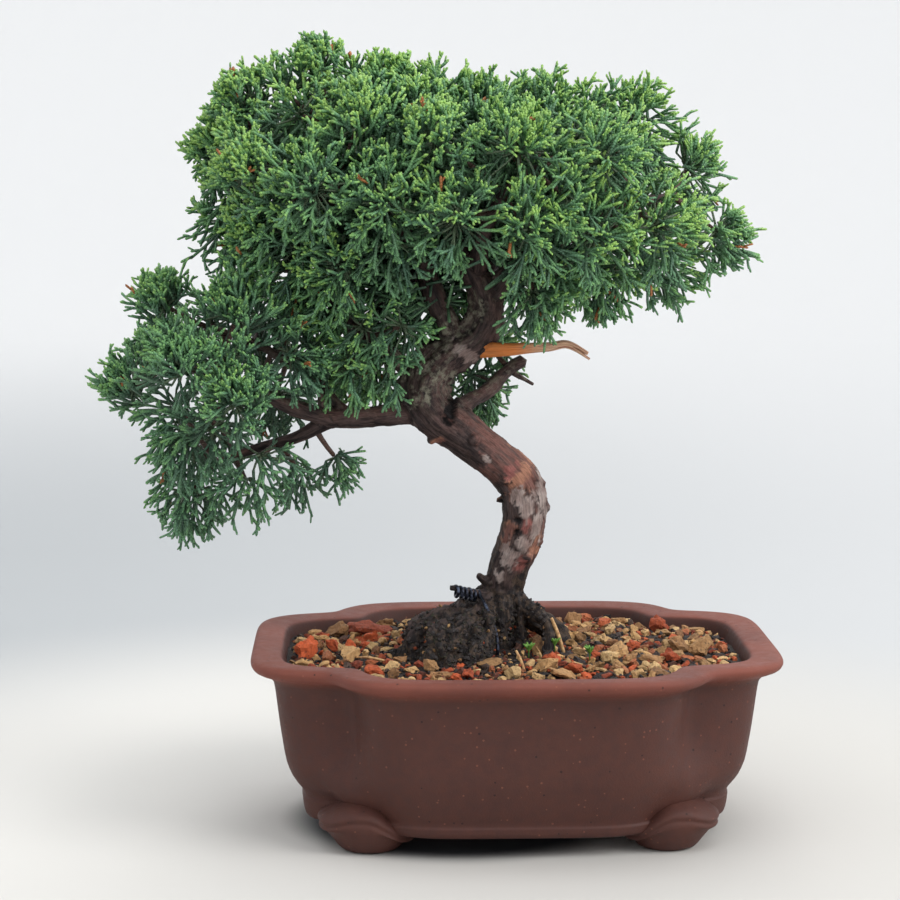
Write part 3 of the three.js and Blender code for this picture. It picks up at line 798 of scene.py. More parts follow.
@dataclass
class Pot:
    """The clay pot: four lobes, a lip, a bulged wall over a low band, four feet and two drain holes.

    The outline's radius at an angle is (side^s + front^s)^(1/s) with s the lobe blend, where a lobe's own
    radius is ((|cos| / (half_x - inset))^n + (|sin| / (half_y - inset))^n)^(-1/n). The surface carries a
    profile of (inset, height) round that outline, and low down the valleys between the lobes fill. Each
    foot is a profile of (radius, height) turned about its own middle, under a bead that dips towards the
    pot's long side.
    """

    side_lobe: tuple[float, float, float] = (102.0, 60.1, 6.27)
    front_lobe: tuple[float, float, float] = (72.7, 82.0, 5.56)
    lobe_blend: float = 26.0
    columns: int = 216
    floor_rings: int = 8
    floor_under: float = 9.5
    floor_top: float = 15.0
    drain_radius: float = 9.0
    drain_x: float = 38.0
    band_rise: float = 3.6
    valley_fill: float = 0.17
    foot_x: float = 56.5
    foot_y: float = 43.0
    foot_columns: int = 48
    bead_dip: float = 8.0
    outer_dip: float = 2.6
    outer_flare: float = 0.15
    wall: tuple = (
        (30.0, 9.5), (26.0, 9.5), (23.2, 9.0), (21.9, 8.1), (20.9, 8.0), (20.0, 8.6), (19.3, 9.9),
        (19.0, 11.3), (18.9, 12.1), (19.3, 12.7), (19.2, 13.6), (18.6, 15.4), (17.3, 18.2), (15.1, 24.0),
        (12.9, 30.0), (11.6, 37.0), (10.5, 44.0), (9.6, 51.0), (8.9, 57.0), (8.2, 61.4), (7.0, 63.8),
        (4.9, 65.5), (2.4, 66.7), (0.6, 67.8), (-0.3, 69.2), (-0.3, 70.4), (0.4, 71.3), (1.9, 71.7),
        (4.0, 71.7), (8.5, 71.4), (10.6, 71.0), (11.6, 70.0), (12.4, 67.5), (13.6, 62.0), (15.4, 52.0),
        (16.6, 44.0), (21.0, 25.0), (23.5, 17.0), (26.0, 15.0),
    )
    foot_profile: tuple = (
        (5.0, 0.0), (8.5, 0.0), (11.0, 0.8), (12.9, 3.0), (14.9, 6.0), (16.3, 9.0), (17.0, 11.2),
        (16.9, 12.5), (16.5, 13.3), (16.7, 14.1), (17.0, 14.9), (16.8, 15.8), (15.9, 16.9), (14.2, 18.0),
        (12.0, 19.0), (9.4, 19.8), (7.0, 20.3), (5.0, 20.5),
    )

    def outline(self, angle: Array, inset: Numbers, filled: Numbers = 0.0) -> Array:
        """The outline's radius, in millimetres, at these angles and insets.

        Args:
            angle: Angles round the pot.
            inset: How far inside the lip's edge, at each.
            filled: The share of the radius by which the valley between two lobes is filled, at each.

        Returns:
            The radii, in the broadcast shape.
        """
        lobes = []
        for half_x, half_y, power in (self.side_lobe, self.front_lobe):
            across = np.abs(np.cos(angle)) / (half_x - inset)
            along = np.abs(np.sin(angle)) / (half_y - inset)
            lobes.append((across**power + along**power) ** (-1.0 / power))
        side, front = lobes
        radius = front * ((side / front) ** self.lobe_blend + 1.0) ** (1.0 / self.lobe_blend)
        return radius * (1.0 + filled * np.exp(-((np.log(side / front) / 0.2) ** 2)))

    def body(self) -> Shell:
        """The clay body as one closed surface, from the middle underneath to the middle of the floor."""
        angle = lobed_angles(self.columns)
        profile = curve_through(np.array(self.wall), 2)
        profile = np.concatenate([profile[:1] + [[8.0, 0.0]], profile])
        top = int(profile[:, 1].argmax())
        sideways = eased(np.abs(np.cos(angle)), 0.72, 0.86)
        level = profile[:, 1:]
        outside = (np.arange(len(level)) < top)[:, None]
        filled = self.valley_fill * (1.0 - eased(level, 14.0, 50.0)) * outside
        radius = self.outline(angle, profile[:, :1], filled)
        lift = band(level, (8.0, 11.5), (14.0, 26.0)) * self.band_rise
        height = level + lift * sideways * outside
        under = np.linspace(0.1, 0.95, self.floor_rings)[:, None]
        inner = np.linspace(0.95, 0.08, self.floor_rings)[:, None]
        radius = np.concatenate([radius[:1] * under, radius, radius[-1:] * inner])
        flat = np.ones((self.floor_rings, self.columns))
        height = np.concatenate([flat * self.floor_under, height, flat * self.floor_top])
        shell = closed_grid(placed_round(angle, radius, height), UP * self.floor_under, UP * self.floor_top)
        row = np.repeat(np.arange(len(radius)), self.columns)
        row = np.concatenate([row, [0, len(radius)]])
        rim_row = self.floor_rings + top + int((profile[top:, 0] > 10.5).argmax())
        inside = eased(row.astype(float), rim_row, rim_row + 3)
        # The lip mark: the top of the wall, painted lighter as the light from above.
        lip = eased(shell.points[:, 2], 62.5, 67.0) * (1.0 - inside)
        return shell.marked(lip=lip, inside=inside)

    def foot(self, side_x: float, side_y: float) -> Shell:
        """One foot.

        Its upper part dips towards the middle of the pot's long side and a little towards the pot's end,
        where it also flares out. Its shoulder runs up into the wall.

        Args:
            side_x: -1 or 1, at which end of the pot it stands.
            side_y: -1 or 1, at which long side.

        Returns:
            The closed surface.
        """
        angle = np.arange(self.foot_columns) / self.foot_columns * TURN
        profile = curve_through(np.array(self.foot_profile), 2)
        level = profile[:, 1:]
        outer = side_x * np.cos(angle)[None, :]
        flare = 0.04 + self.outer_flare * eased(level, 4.0, 15.0)
        radius = profile[:, :1] * (1.0 + flare * eased(outer, 0.1, 1.0))
        inward = self.bead_dip * eased(-radius * outer, -2.0, 15.0)
        dip = inward + self.outer_dip * eased(radius * outer, 6.0, 18.0)
        dip = dip * eased(level, 7.0, 13.0) * (1.0 - 0.6 * eased(level, 17.0, 28.0))
        low = np.array([side_x * self.foot_x, side_y * self.foot_y, 0.0])
        rings = low + placed_round(angle, radius, level - dip)
        return closed_grid(rings, low, low + UP * rings[-1, :, 2].mean())

    def build(self) -> None:
        """The pot with its two drain holes cut through the floor, and its feet."""
        pot = piece(self.body(), "clay_pot", CLAY, "clay", "pot")
        for side in (-1.0, 1.0):
            self.drill(pot, side * self.drain_x)
        feet = [self.foot(x, y) for x in (-1.0, 1.0) for y in (-1.0, 1.0)]
        piece(Shell.joined(feet).marked(lip=0.0, inside=0.0), "clay_feet", CLAY, "clay", "pot")

    def drill(self, pot: bpy.types.Object, x: float) -> None:
        """Cuts one drain hole at x, a plain round bore through the floor."""
        line = np.array([[(x, 0.0, 2.0), (x, 0.0, 9.0), (x, 0.0, 16.0), (x, 0.0, 22.0)]])
        bore = tubes(line, np.full((1, 4), self.drain_radius), 48, 0.0)
        tool = linked("drain_tool", bore.mesh("drain_tool"))
        pot.data = worked(pot, "BOOLEAN", operation="DIFFERENCE", object=tool, solver="EXACT")
        bpy.data.objects.remove(tool)


# The tree's wood


TRUNK = [
    (-6, 6, 50, 10.5), (-5, 6, 68, 10), (-4, 5, 82, 8.8), (-2, 3, 99, 8.2), (2.4, 1, 111, 8.2),
    (4.6, 0, 123, 9.3), (2.4, 0, 134, 8.8), (-7, 0, 144, 8.3), (-20, -1, 154, 8.6), (-31, -1, 163, 10),
    (-35, 0, 172, 10.3), (-31, 2, 180, 9.6), (-23, 3, 186, 8.7), (-14, 2, 193, 7.8), (-11, 0, 204, 6.8),
    (-15, -2, 215, 5.8), (-21, -3, 226, 4.8), (-25, -2, 239, 3.8), (-21, 0, 252, 3), (-15, 2, 263, 2.2),
]
ROOTS = [
    [(-6, 4, 86, 6), (-20, -4, 81, 6.6), (-33, -11, 77, 7.6), (-40, -17, 66, 6.4), (-43, -20, 57, 4.5)],
    [(-6, 2, 84, 6.5), (-18, -12, 79.5, 7.4), (-27, -23, 74, 8), (-31, -31, 64, 6.4), (-32, -34, 56, 4.4)],
    [(-5, 2, 84, 4), (-12, -9, 79.5, 4.4), (-15, -21, 73, 4.8), (-15, -29, 62, 4), (-15, -31, 55, 3)],
    [(-2, 4, 88, 4.5), (6, -2, 85, 3.4), (13, -9, 79, 2.5), (13, -16, 68, 2.2), (11, -19, 58, 1.8)],
    [(-3, 6, 84, 6), (8, 8, 79, 5.5), (18, 10, 71, 4.5), (26, 12, 60, 3)],
    [(-5, 8, 84, 6), (-4, 18, 77, 5.6), (-2, 28, 69, 4.4), (0, 36, 59, 3)],
    [(-8, 7, 84, 6), (-20, 12, 78, 5.6), (-31, 16, 70, 4.6), (-40, 20, 59, 3)],
]
LIMBS = {
    "left_leader": [
        (-20, 2, 186, 5), (-29, 0, 203, 4.4), (-35, -3, 218, 3.8), (-42, -5, 232, 3.1), (-53, -3, 248, 2.5),
        (-64, 0, 264, 2), (-72, 0, 275, 1.3),
    ],
    "right_front": [
        (-11, 0, 206, 4.4), (4, -9, 222, 3.6), (24, -16, 234, 2.8), (44, -17, 243, 2), (60, -12, 247, 1.3),
    ],
    "right_back": [(-15, -2, 216, 4), (2, 20, 228, 3.2), (22, 28, 241, 2.4), (42, 28, 252, 1.5)],
    "left_back": [(-32, -1, 211, 3.4), (-54, 20, 224, 2.8), (-76, 26, 240, 2.1), (-92, 22, 252, 1.4)],
    "left_front": [(-40, -4, 229, 3), (-60, -17, 240, 2.4), (-82, -18, 250, 1.8), (-98, -12, 258, 1.2)],
    "front": [(-15, -2, 216, 3.6), (-12, -22, 234, 2.8), (-4, -32, 250, 1.9), (8, -30, 258, 1.3)],
    "back": [(-21, -3, 227, 3.2), (-24, 24, 244, 2.4), (-26, 34, 260, 1.5)],
    "left_branch": [
        (-36, 0, 163, 5.4), (-53, -3, 161, 4.1), (-72, -6, 161, 3.6), (-88, -9, 166, 2.9),
        (-104, -13, 173, 2.3), (-120, -14, 179, 1.7), (-133, -12, 183, 1.2),
    ],
    "left_low_fork": [(-70, -6, 161, 3), (-84, -2, 153, 2.4), (-102, 6, 147, 1.9), (-116, 4, 142, 1.3)],
    "left_high_fork": [(-65, -5, 161, 2.7), (-82, 3, 178, 2.1), (-104, 6, 190, 1.6), (-118, 2, 195, 1.2)],
    "knee": [(-38, 1, 176, 3.4), (-54, -3, 190, 2.4), (-68, -9, 203, 1.8), (-82, -12, 216, 1.2)],
    "back_branch": [(-24, 0, 162, 4), (-10, 12, 169, 3), (-1, 18, 177, 2.7), (5, 20, 180, 2.5)],
    "back_twig": [(-1, 18, 177, 1), (9, 20, 171, 0.6)],
    "dead_stub": [(-74, -6, 161, 1.6), (-76, -8, 174, 0.9)],
}
STUBS = [
    [(-6, 0, 136, 2.6), (-3, -9.5, 136, 1.4)],
    [(2, 0, 134, 2.6), (12.5, -1, 134, 1.2)],
    [(4, 0, 124, 2.6), (14.5, 0, 124.5, 1.4)],
    [(2, 1, 110, 2.6), (11.5, -1, 111, 1.6)],
    [(-20, -1, 155, 3.2), (-15, -9.5, 152, 2.2)],
    [(-26, -1, 160, 3), (-33, -4, 150.5, 1.6)],
    [(-35, 0, 170, 3.4), (-39, -11, 168, 2)],
    [(2, 0, 132, 2.6), (-6.5, -3, 127, 1.3)],
    [(-6, 2, 91, 3.4), (-14, -3, 98, 1.3)],
    [(-6, 2, 90, 2.4), (-14, -5.6, 91.2, 1.5), (-20, -8.0, 92.9, 1.25), (-25, -9.8, 94.2, 1.15)],
    [(0, -3, 105, 3.0), (7.0, -5.5, 105.2, 1.9)],
]
DEAD_BRANCH = [
    (-14, 1, 187, 3.4), (-4, -2, 187, 2.5), (13, -4, 188, 1.7), (21, -5, 189, 1.5), (30, -6, 184, 1.2),
]


def limb_line(knots: list, step: float) -> Array:
    """Even points (x, y, z, radius) on the curve through a limb's knots, about step apart."""
    fine = curve_through(np.array(knots, float), 24)
    walked = walk(fine[:, :3])
    even = np.linspace(0.0, walked[-1], max(4, int(walked[-1] / step) + 1))
    return np.stack([np.interp(even, walked, fine[:, column]) for column in range(4)], axis=-1)


def square_to(line: Array) -> Array:
    """The direction most nearly square to a whole line: its last singular vector."""
    run = unit(np.gradient(line[:, :3], axis=0))
    return np.linalg.svd(run, full_matrices=False)[2][-1]


def limb_tube(line: Array, sides: int, blunt: float) -> Shell:
    """A tube along a limb's points (x, y, z, radius), which lie near one plane."""
    return tubes(line[None, :, :3], line[None, :, 3], sides, blunt, square_to(line)[None, None, :])


def outward(tube: Shell, centres: Array, sides: int) -> Array:
    """The direction away from the middle of a single tube with these centres, at each of its points."""
    middles = np.concatenate([np.repeat(centres, sides, axis=0), centres[-1:], centres[:1]])
    return unit(tube.points - middles)


@dataclass
class Grain:
    """Where a place lies on the wood: along and round the nearest limb.

    Every limb is sampled about a millimetre apart, with two directions square to its run. A place takes
    the sample whose surface is nearest, and its coordinates are the walk along the limb and the offsets in
    the two directions. The walk starts farther on with each limb, so that no two have the same relief.
    """

    lines: list[Array]
    limb_start: float = 37.0

    def __post_init__(self) -> None:
        """Collects the samples of every limb in one table."""
        rows = []
        for number, line in enumerate(self.lines):
            run = unit(np.gradient(line[:, :3], axis=0))
            across = unit(np.cross(run, square_to(line)))
            walked = walk(line[:, :3]) + self.limb_start * number
            rows.append(np.column_stack([line, walked, across, np.cross(run, across)]))
        table = np.concatenate(rows)
        self.centres, self.radii, self.walks = table[:, :3], table[:, 3], table[:, 4]
        self.acrosses, self.ups = table[:, 5:8], table[:, 8:]

    def nearest(self, points: Array) -> tuple[Array, Array]:
        """The nearest sample of each point, and the point's distance outside its surface."""
        found, gaps = [], []
        for part in np.array_split(points, max(1, len(points) // 4000)):
            away = np.linalg.norm(part[:, None, :] - self.centres[None], axis=2) - self.radii
            pick = away.argmin(axis=1)
            found.append(pick)
            gaps.append(away[np.arange(len(part)), pick])
        return np.concatenate(found), np.concatenate(gaps)

    def clearance(self, points: Array, middle: Array, reach: float = 48.0) -> Array:
        """Each point's distance outside the wood that lies within reach of a middle."""
        close = np.linalg.norm(self.centres - middle, axis=1) < reach
        if not close.any():
            return np.full(len(points), reach)
        away = np.linalg.norm(points[:, None, :] - self.centres[close][None], axis=2) - self.radii[close]
        return away.min(axis=1)

    def coordinates(self, points: Array) -> tuple[Array, Array]:
        """(along, across, up) of each point in millimetres, and the limb's radius there."""
        pick, _ = self.nearest(points)
        offset = points - self.centres[pick]
        across, up = ((offset * way[pick]).sum(axis=1) for way in (self.acrosses, self.ups))
        return np.stack([self.walks[pick], across, up], axis=-1), self.radii[pick]


@dataclass(frozen=True)
class Patch:
    """A patch on the front of the trunk.

    Attributes:
        mark: The mark that it lays on.
        x, z: Its middle.
        half_x, half_z: Half its width and half its height.
        lean: How far its long axis leans to the right, in degrees.
    """

    mark: str
    x: float
    z: float
    half_x: float
    half_z: float
    lean: float = 0.0

    def cover(self, points: Array, ragged: Array, edge: float = 1.0) -> Array:
        """1 inside the patch, 0 outside, with a ragged edge at this share of its size."""
        right, up = points[:, 0] - self.x, points[:, 2] - self.z
        c, s = math.cos(math.radians(self.lean)), math.sin(math.radians(self.lean))
        across = (right * c - up * s) / self.half_x
        along = (right * s + up * c) / self.half_z
        away = (np.abs(across) ** 3.0 + np.abs(along) ** 3.0) ** (1.0 / 3.0)
        return 1.0 - eased(away + ragged * 0.75, edge - 0.12, edge + 0.06)


PATCHWORK = (
    Patch("red_bark_and_light", -3, 146, 13, 7.5, -52),
    Patch("rust", 3.5, 136.5, 5.2, 8, 10),
    Patch("rust", -2.4, 114, 2.6, 5.6, 20),
    Patch("rust", 8.6, 112, 2.6, 7, 12),
    Patch("pale", 5, 126.6, 4.6, 5.2, -8),
    Patch("pale", 11, 131, 1.8, 12, -6),
    Patch("pale", 9.2, 118.5, 2.4, 6, 10),
    Patch("pale", 3.1, 110.7, 3, 3.1, 0),
    Patch("pale", -2.2, 105.2, 3.6, 5, 24),
    Patch("pale", -6.2, 98, 2.2, 3.6, 20),
    Patch("pale", -11, 144, 1.9, 1.6, 0),
    Patch("rosy", 5.2, 118.6, 2.3, 3, 14),
    Patch("rosy", 2, 103, 2.6, 3.4, 20),
    Patch("rosy", -1, 140.5, 3.6, 2.8, -40),
    Patch("rust", -30, 151.5, 2.6, 1.3, -30),
    Patch("pit", 1.6, 120.3, 1.9, 1.1, 8),
    Patch("pit", 1, 115.3, 1.2, 1.7, 8),
    Patch("pit", 4.9, 132.6, 0.7, 0.7, 0),
    Patch("pit", -25, 164, 2.6, 6, 14),
    Patch("lichen", -30, 178, 7, 3.2, 30),
    Patch("pale", -20, 186, 6, 2.4, 30),
    Patch("lichen", -37, 170, 3, 4.5, 10),
    Patch("pit", -6.2, 122, 1.6, 8, 4),
    Patch("lichen", -41, 181.5, 6, 5, -30),
    Patch("lichen", -33, 187, 7, 4.4, -40),
    Patch("lichen", -24, 196, 6, 4.6, 30),
    Patch("lichen", -17, 203, 5, 5, 20),
)


def bark_marks(points: Array, normals: Array, grain: Grain) -> dict[str, Array]:
    """The marks that the bark finish reads.

    Red bark is painted on the faces that look up and to the right, as light falling there. On the front the
    patchwork lies where the tree has it, on the back patches lie where a noise is high, the foot is dark
    below a wavy line, and the left edge of the low trunk's front is painted dark as shade.

    Args:
        points: Places on the bark.
        normals: Which way it faces there.
        grain: The limbs.

    Returns:
        The marks by name.
    """
    coordinates, _ = grain.coordinates(points)
    ragged = fractal_noise(coordinates * np.array([0.2, 0.55, 0.55]), 3, 5)
    front = 1.0 - eased(normals[:, 1], 0.1, 0.5)
    marks = {name: np.zeros(len(points)) for name in ("red_bark_and_light", "rust", "rosy", "pale", "pit", "lichen")}
    for patch in PATCHWORK:
        inside = patch.cover(points, ragged) * front
        marks[patch.mark] = np.maximum(marks[patch.mark], inside)
        if patch.mark == "pale":
            rim = patch.cover(points, ragged, 1.2) * front * (1.0 - inside)
            marks["pit"] = np.maximum(marks["pit"] * (1.0 - inside), rim * 0.55)
    x, _, z = points.T
    trunk_part = band(z, (90.0, 100.0), (150.0, 165.0))
    drift = fractal_noise(coordinates * np.array([0.07, 0.16, 0.16]) + 7.3, 3, 15)
    # Painted light: red bark on the faces that turn towards the key light, up and to the right.
    key_light_facing = normals @ np.array([0.75, -0.2, 0.5])
    red_bark_and_light = eased(key_light_facing + ragged * 0.25, 0.1, 0.7) * eased(z, 96.0, 108.0)
    crust = band(z, (158.0, 172.0), (205.0, 230.0))
    wide = {
        "pale": eased(drift, 0.3, 0.42) * (1.0 - front) * trunk_part,
        "rust": eased(-drift, 0.3, 0.42) * (1.0 - front) * trunk_part,
        "red_bark_and_light": red_bark_and_light * (1.0 - 0.7 * eased(z, 156.0, 166.0)),
        "lichen": crust * (eased(normals[:, 2] + ragged * 0.6, -0.2, 0.6) * 0.55),
    }
    for mark, cover in wide.items():
        marks[mark] = np.maximum(marks[mark], cover)
    damp = 1.0 - eased(z - 0.45 * (x - 2.0) + ragged * 7.0, 94.0, 101.0)
    # Painted shade: the left edge of the low trunk's front takes the damp foot's dark colours.
    left_edge = np.interp(z, [95, 112, 124, 134], [-9, -5, -3, -5])
    painted_left_shade = 1.0 - eased(x + ragged * 1.5 - left_edge, -0.8, 0.8)
    low_trunk = band(z, (92.0, 100.0), (132.0, 142.0))
    marks["damp"] = np.maximum(damp, 0.85 * painted_left_shade * low_trunk * front)
    marks["bark"] = coordinates
    return marks


@dataclass
class Wood:
    """The tree's roots, trunk, branches, stubs and stripped branch.

    Trunk, roots and stubs are round tubes joined by a voxel remesh, then pushed out along their normals by
    long flakes, ridges and grain that run along each limb. Branches are tubes with the same relief in
    their radii.
    """

    voxel: float = 0.84
    flake: float = 0.8
    ridge: float = 0.6
    rootlets: int = 34
    spikes: int = 1100
    seed: int = 11

    def lines(self) -> list[Array]:
        """Every limb as points (x, y, z, radius) a millimetre apart."""
        return [limb_line(knots, 1.0) for knots in [*self.thick_limbs(), *LIMBS.values(), DEAD_BRANCH]]

    def thick_limbs(self) -> list[list]:
        """Trunk, roots, stubs, and thin old roots that run down the root clump into the soil."""
        draw = np.random.default_rng(self.seed)
        made = [TRUNK, *ROOTS, *STUBS]
        for _ in range(self.rootlets):
            root = ROOTS[draw.integers(0, 3)]
            start = np.array(root[draw.integers(0, 3)][:3], float)
            aim = unit(np.array([draw.uniform(-0.9, 0.5), draw.uniform(-1.0, 0.1), 0.0]))
            side = draw.uniform(-3.0, 3.0)
            reach = draw.uniform(6.5, 9.5)
            thick = draw.uniform(1.0, 2.3)
            over = start + aim * 1.5 + UP * draw.uniform(5.0, 7.5)
            edge = start + aim * reach + UP * draw.uniform(-1.0, 3.5)
            x, y = (start + aim * (reach + draw.uniform(0.0, 3.0)))[:2] + np.array([side, 0.0])
            ends = [(x, y, 68.0, thick * 0.9), (x + side * 0.4, y, 58.0, thick * 0.6)]
            made.append([(*over, thick), (*edge, thick), *ends])
        return made

    def relief(self, coordinates: Array, radius: Array, height: Array) -> Array:
        """How far the bark stands out, in millimetres.

        Flakes are a stepped noise 14 mm long and 3 mm wide, ridges the fold of a noise 9 mm long and 1.8 mm
        wide. Both are deeper on the foot and above the bend than on the smooth middle of the trunk.

        Args:
            coordinates: Places along, across and up on the limbs.
            radius: The limb's radius there.
            height: The place's height over the ground.

        Returns:
            The distance to push the surface out.
        """
        upper = eased(height, 150.0, 166.0)
        foot = 1.0 - eased(height, 84.0, 98.0)
        rough = 0.42 + 0.6 * upper + 0.7 * foot
        size = np.minimum(radius / 7.0, 1.15)
        flakes = fractal_noise(coordinates * np.array([0.09, 0.3, 0.3]), 2, 21)
        stepped = eased(flakes, -0.1, 0.05) + eased(flakes, 0.25, 0.38)
        folds = 1.0 - np.abs(fractal_noise(coordinates * np.array([0.11, 0.55, 0.55]), 3, 33)) * 1.6
        swell = lattice_noise(coordinates * np.array([0.08, 0.12, 0.12]), 41)
        lumps = fractal_noise(coordinates * np.array([0.22, 0.3, 0.3]) + 3.1, 2, 47)
        bark = size * rough * (self.flake * (stepped - 0.9) * 0.6 + self.ridge * (folds - 0.6))
        return bark + size * (0.5 * swell + (1.1 * upper + 2.1 * foot) * lumps)

    def hollows(self, points: Array, normals: Array) -> Array:
        """How deep the long crack and the black hollows on the front of the trunk cut, in millimetres."""
        knots = [(5.6, -7.5, 143), (8.6, -6.6, 135), (9.9, -5.5, 127), (11.8, -3.5, 120.5)]
        path = curve_through(np.array(knots, float), 12)
        away = np.linalg.norm(points[:, None, :] - path[None], axis=2).min(axis=1)
        cut = 1.6 * (1.0 - eased(away, 0.4, 1.5))
        front = 1.0 - eased(normals[:, 1], 0.1, 0.5)
        for patch in PATCHWORK:
            if patch.mark == "pit":
                depth = min(3.2, 1.1 * min(patch.half_x, patch.half_z))
                cut = np.maximum(cut, depth * patch.cover(points, np.zeros(len(points))) * front)
        return cut

    def joined_body(self, grain: Grain) -> Shell:
        """Roots, trunk and stubs as one skin with bark relief."""
        loose = Shell.joined([limb_tube(limb_line(knots, 1.6), 28, 0.35) for knots in self.thick_limbs()])
        loose.marks = {}
        thing = linked("wood_work", loose.mesh("wood_work"))
        mesh = worked(thing, "REMESH", mode="VOXEL", voxel_size=self.voxel * MM)
        bpy.data.objects.remove(thing)
        points = points_of(mesh)
        normals = np.zeros(points.size, np.float32)
        corners = np.zeros(len(mesh.loops), np.int32)
        sizes = np.zeros(len(mesh.polygons), np.int32)
        mesh.vertex_normals.foreach_get("vector", normals)
        mesh.loops.foreach_get("vertex_index", corners)
        mesh.polygons.foreach_get("loop_total", sizes)
        normals = normals.reshape(-1, 3).astype(float)
        starts = np.cumsum(sizes) - sizes
        faces = [corners[starts[sizes == n][:, None] + np.arange(n)] for n in (3, 4) if (sizes == n).any()]
        coordinates, radius = grain.coordinates(points)
        push = self.relief(coordinates, radius, points[:, 2]) - self.hollows(points, normals)
        fine = fractal_noise(points * 0.9, 2, 3) * 0.14
        points = points + normals * (push + fine)[:, None]
        return Shell(points, faces).marked(**bark_marks(points, normals, grain))

    def branches(self, grain: Grain) -> Shell:
        """The branches, whose radii carry the bark relief and flare where they leave their parent."""
        parts = []
        for knots in LIMBS.values():
            line = limb_line(knots, 1.1)
            walked = np.arange(len(line)) * 1.1
            line[:, 3] *= 1.0 + 0.35 * np.exp(-walked / 5.0)
            part = limb_tube(line, 14, 0.5)
            normals = outward(part, line[:, :3], 14)
            coordinates, radius = grain.coordinates(part.points)
            push = self.relief(coordinates, radius, part.points[:, 2])
            part.points = part.points + normals * np.clip(push, -0.25 * radius, 0.3 * radius)[:, None]
            part.marks = {}
            parts.append(part.marked(**bark_marks(part.points, normals, grain)))
        return Shell.joined(parts)

    def stripped_branch(self, grain: Grain) -> Shell:
        """The stripped branch, its far end split into three slivers that part from each other."""
        line = limb_line(DEAD_BRANCH, 0.8)
        share = np.linspace(0.0, 1.0, len(line))
        parts = []
        for turn, gap in ((0.3, 0.7), (2.4, 0.9), (4.5, 0.6)):
            parting = eased(share, 0.72, 1.0) * gap
            offset = np.array([0.0, math.cos(turn), math.sin(turn)])
            centres = line[:, :3] + offset * (line[:, 3] * 0.42 + parting)[:, None]
            radii = line[:, 3] * (0.72 - 0.3 * eased(share, 0.7, 1.0))
            cut = len(line) - int(gap * 3)
            part = tubes(centres[None, :cut], radii[None, :cut], 12, 0.3, square_to(line)[None, None, :])
            coordinates, _ = grain.coordinates(part.points)
            wear = fractal_noise(coordinates * np.array([0.12, 1.1, 1.1]), 2, 8)
            part.points = part.points + outward(part, centres[:cut], 12) * (wear * 0.16)[:, None]
            parts.append(part.marked(bark=coordinates))
        return Shell.joined(parts)

    def moss(self, body: Shell, grain: Grain) -> Shell:
        """Short dark spikes of moss on the upper side of the root clump."""
        draw = np.random.default_rng(self.seed + 1)
        _, radius = grain.coordinates(body.points)
        x, _, z = body.points.T
        place = (z < 86.0) & (z > 69.0) & (x < 3.0) & (radius > 1.0)
        pick = draw.choice(np.flatnonzero(place), self.spikes)
        root = body.points[pick] - UP * 0.3
        aim = unit(draw.normal(size=(len(pick), 3)) * 0.6 + UP * 0.8 + np.array([-0.2, -0.4, 0.0]))
        length = draw.uniform(0.7, 1.8, len(pick))[:, None]
        line = np.stack([root, root + aim * length * 0.6], axis=1)
        radii = np.stack([np.full(len(pick), 0.32), np.full(len(pick), 0.2)], axis=1)
        return tubes(line, radii, 3, 2.5)

    def build(self) -> tuple[Grain, Shell]:
        """Builds and dresses every wooden piece.

        Returns:
            The grain, with which other pieces keep clear of the wood, and the skin of trunk and roots.
        """
        grain = Grain(self.lines())
        body = self.joined_body(grain)
        piece(body, "trunk_and_roots", BARK, "bark", "trunk")
        piece(self.branches(grain), "branches", BARK, "bark", "trunk")
        piece(self.stripped_branch(grain), "stripped_branch", DEAD_WOOD, "bark", "trunk")
        piece(self.moss(body, grain), "root_moss", MOSS, "bark", "trunk")
        return grain, body


# Soil, stones and small things on it


@dataclass
class Soil:
    """The soil in the pot: a low dome with crumbs, closed down to the pot's floor."""

    wall_inset: float = 12.4
    skirt: tuple = ((25.5, 16.0), (21.4, 25.0), (16.9, 45.0), (13.6, 60.0))
    edge_height: float = 65.5
    dome: float = 3.0
    rings: int = 52
    columns: int = 160

    def height(self, points: Array, pot: Pot) -> Array:
        """The soil's height in millimetres at places (x, y): a dome that falls off with the square."""
        radius = np.linalg.norm(points[:, :2], axis=1)
        rim = pot.outline(np.arctan2(points[:, 1], points[:, 0]), self.wall_inset)
        dome = self.edge_height + self.dome * (1.0 - np.minimum(radius / rim, 1.0) ** 2)
        return dome + fractal_noise(points * np.array([0.09, 0.09, 0.0]), 2, 61) * 0.9

    def shell(self, pot: Pot) -> Shell:
        """The dome as rings round the middle, and a skirt down to a closed bottom."""
        angle = lobed_angles(self.columns)
        shares = np.linspace(1.0, 0.01, self.rings)[:, None]
        top = pot.outline(angle[None, :], self.wall_inset) * shares
        skirt_insets, skirt_heights = np.array(self.skirt).T[..., None]
        skirt = pot.outline(angle, skirt_insets)
        radius = np.concatenate([skirt[:1] * 0.3, skirt, top])
        flat = placed_round(angle, radius)
        crumbs = fractal_noise(flat.reshape(-1, 3) * 0.75, 3, 71).reshape(radius.shape) * 0.6
        height = self.height(flat.reshape(-1, 3), pot).reshape(radius.shape) + crumbs
        height[:5] = np.concatenate([skirt_heights[:1], skirt_heights])
        return closed_grid(flat + UP * height[..., None], UP * skirt_heights[0], UP * height[-1].mean())

    def build(self, pot: Pot) -> None:
        """Builds and dresses the soil."""
        piece(self.shell(pot), "soil_surface", SOIL, "grit", "soil")


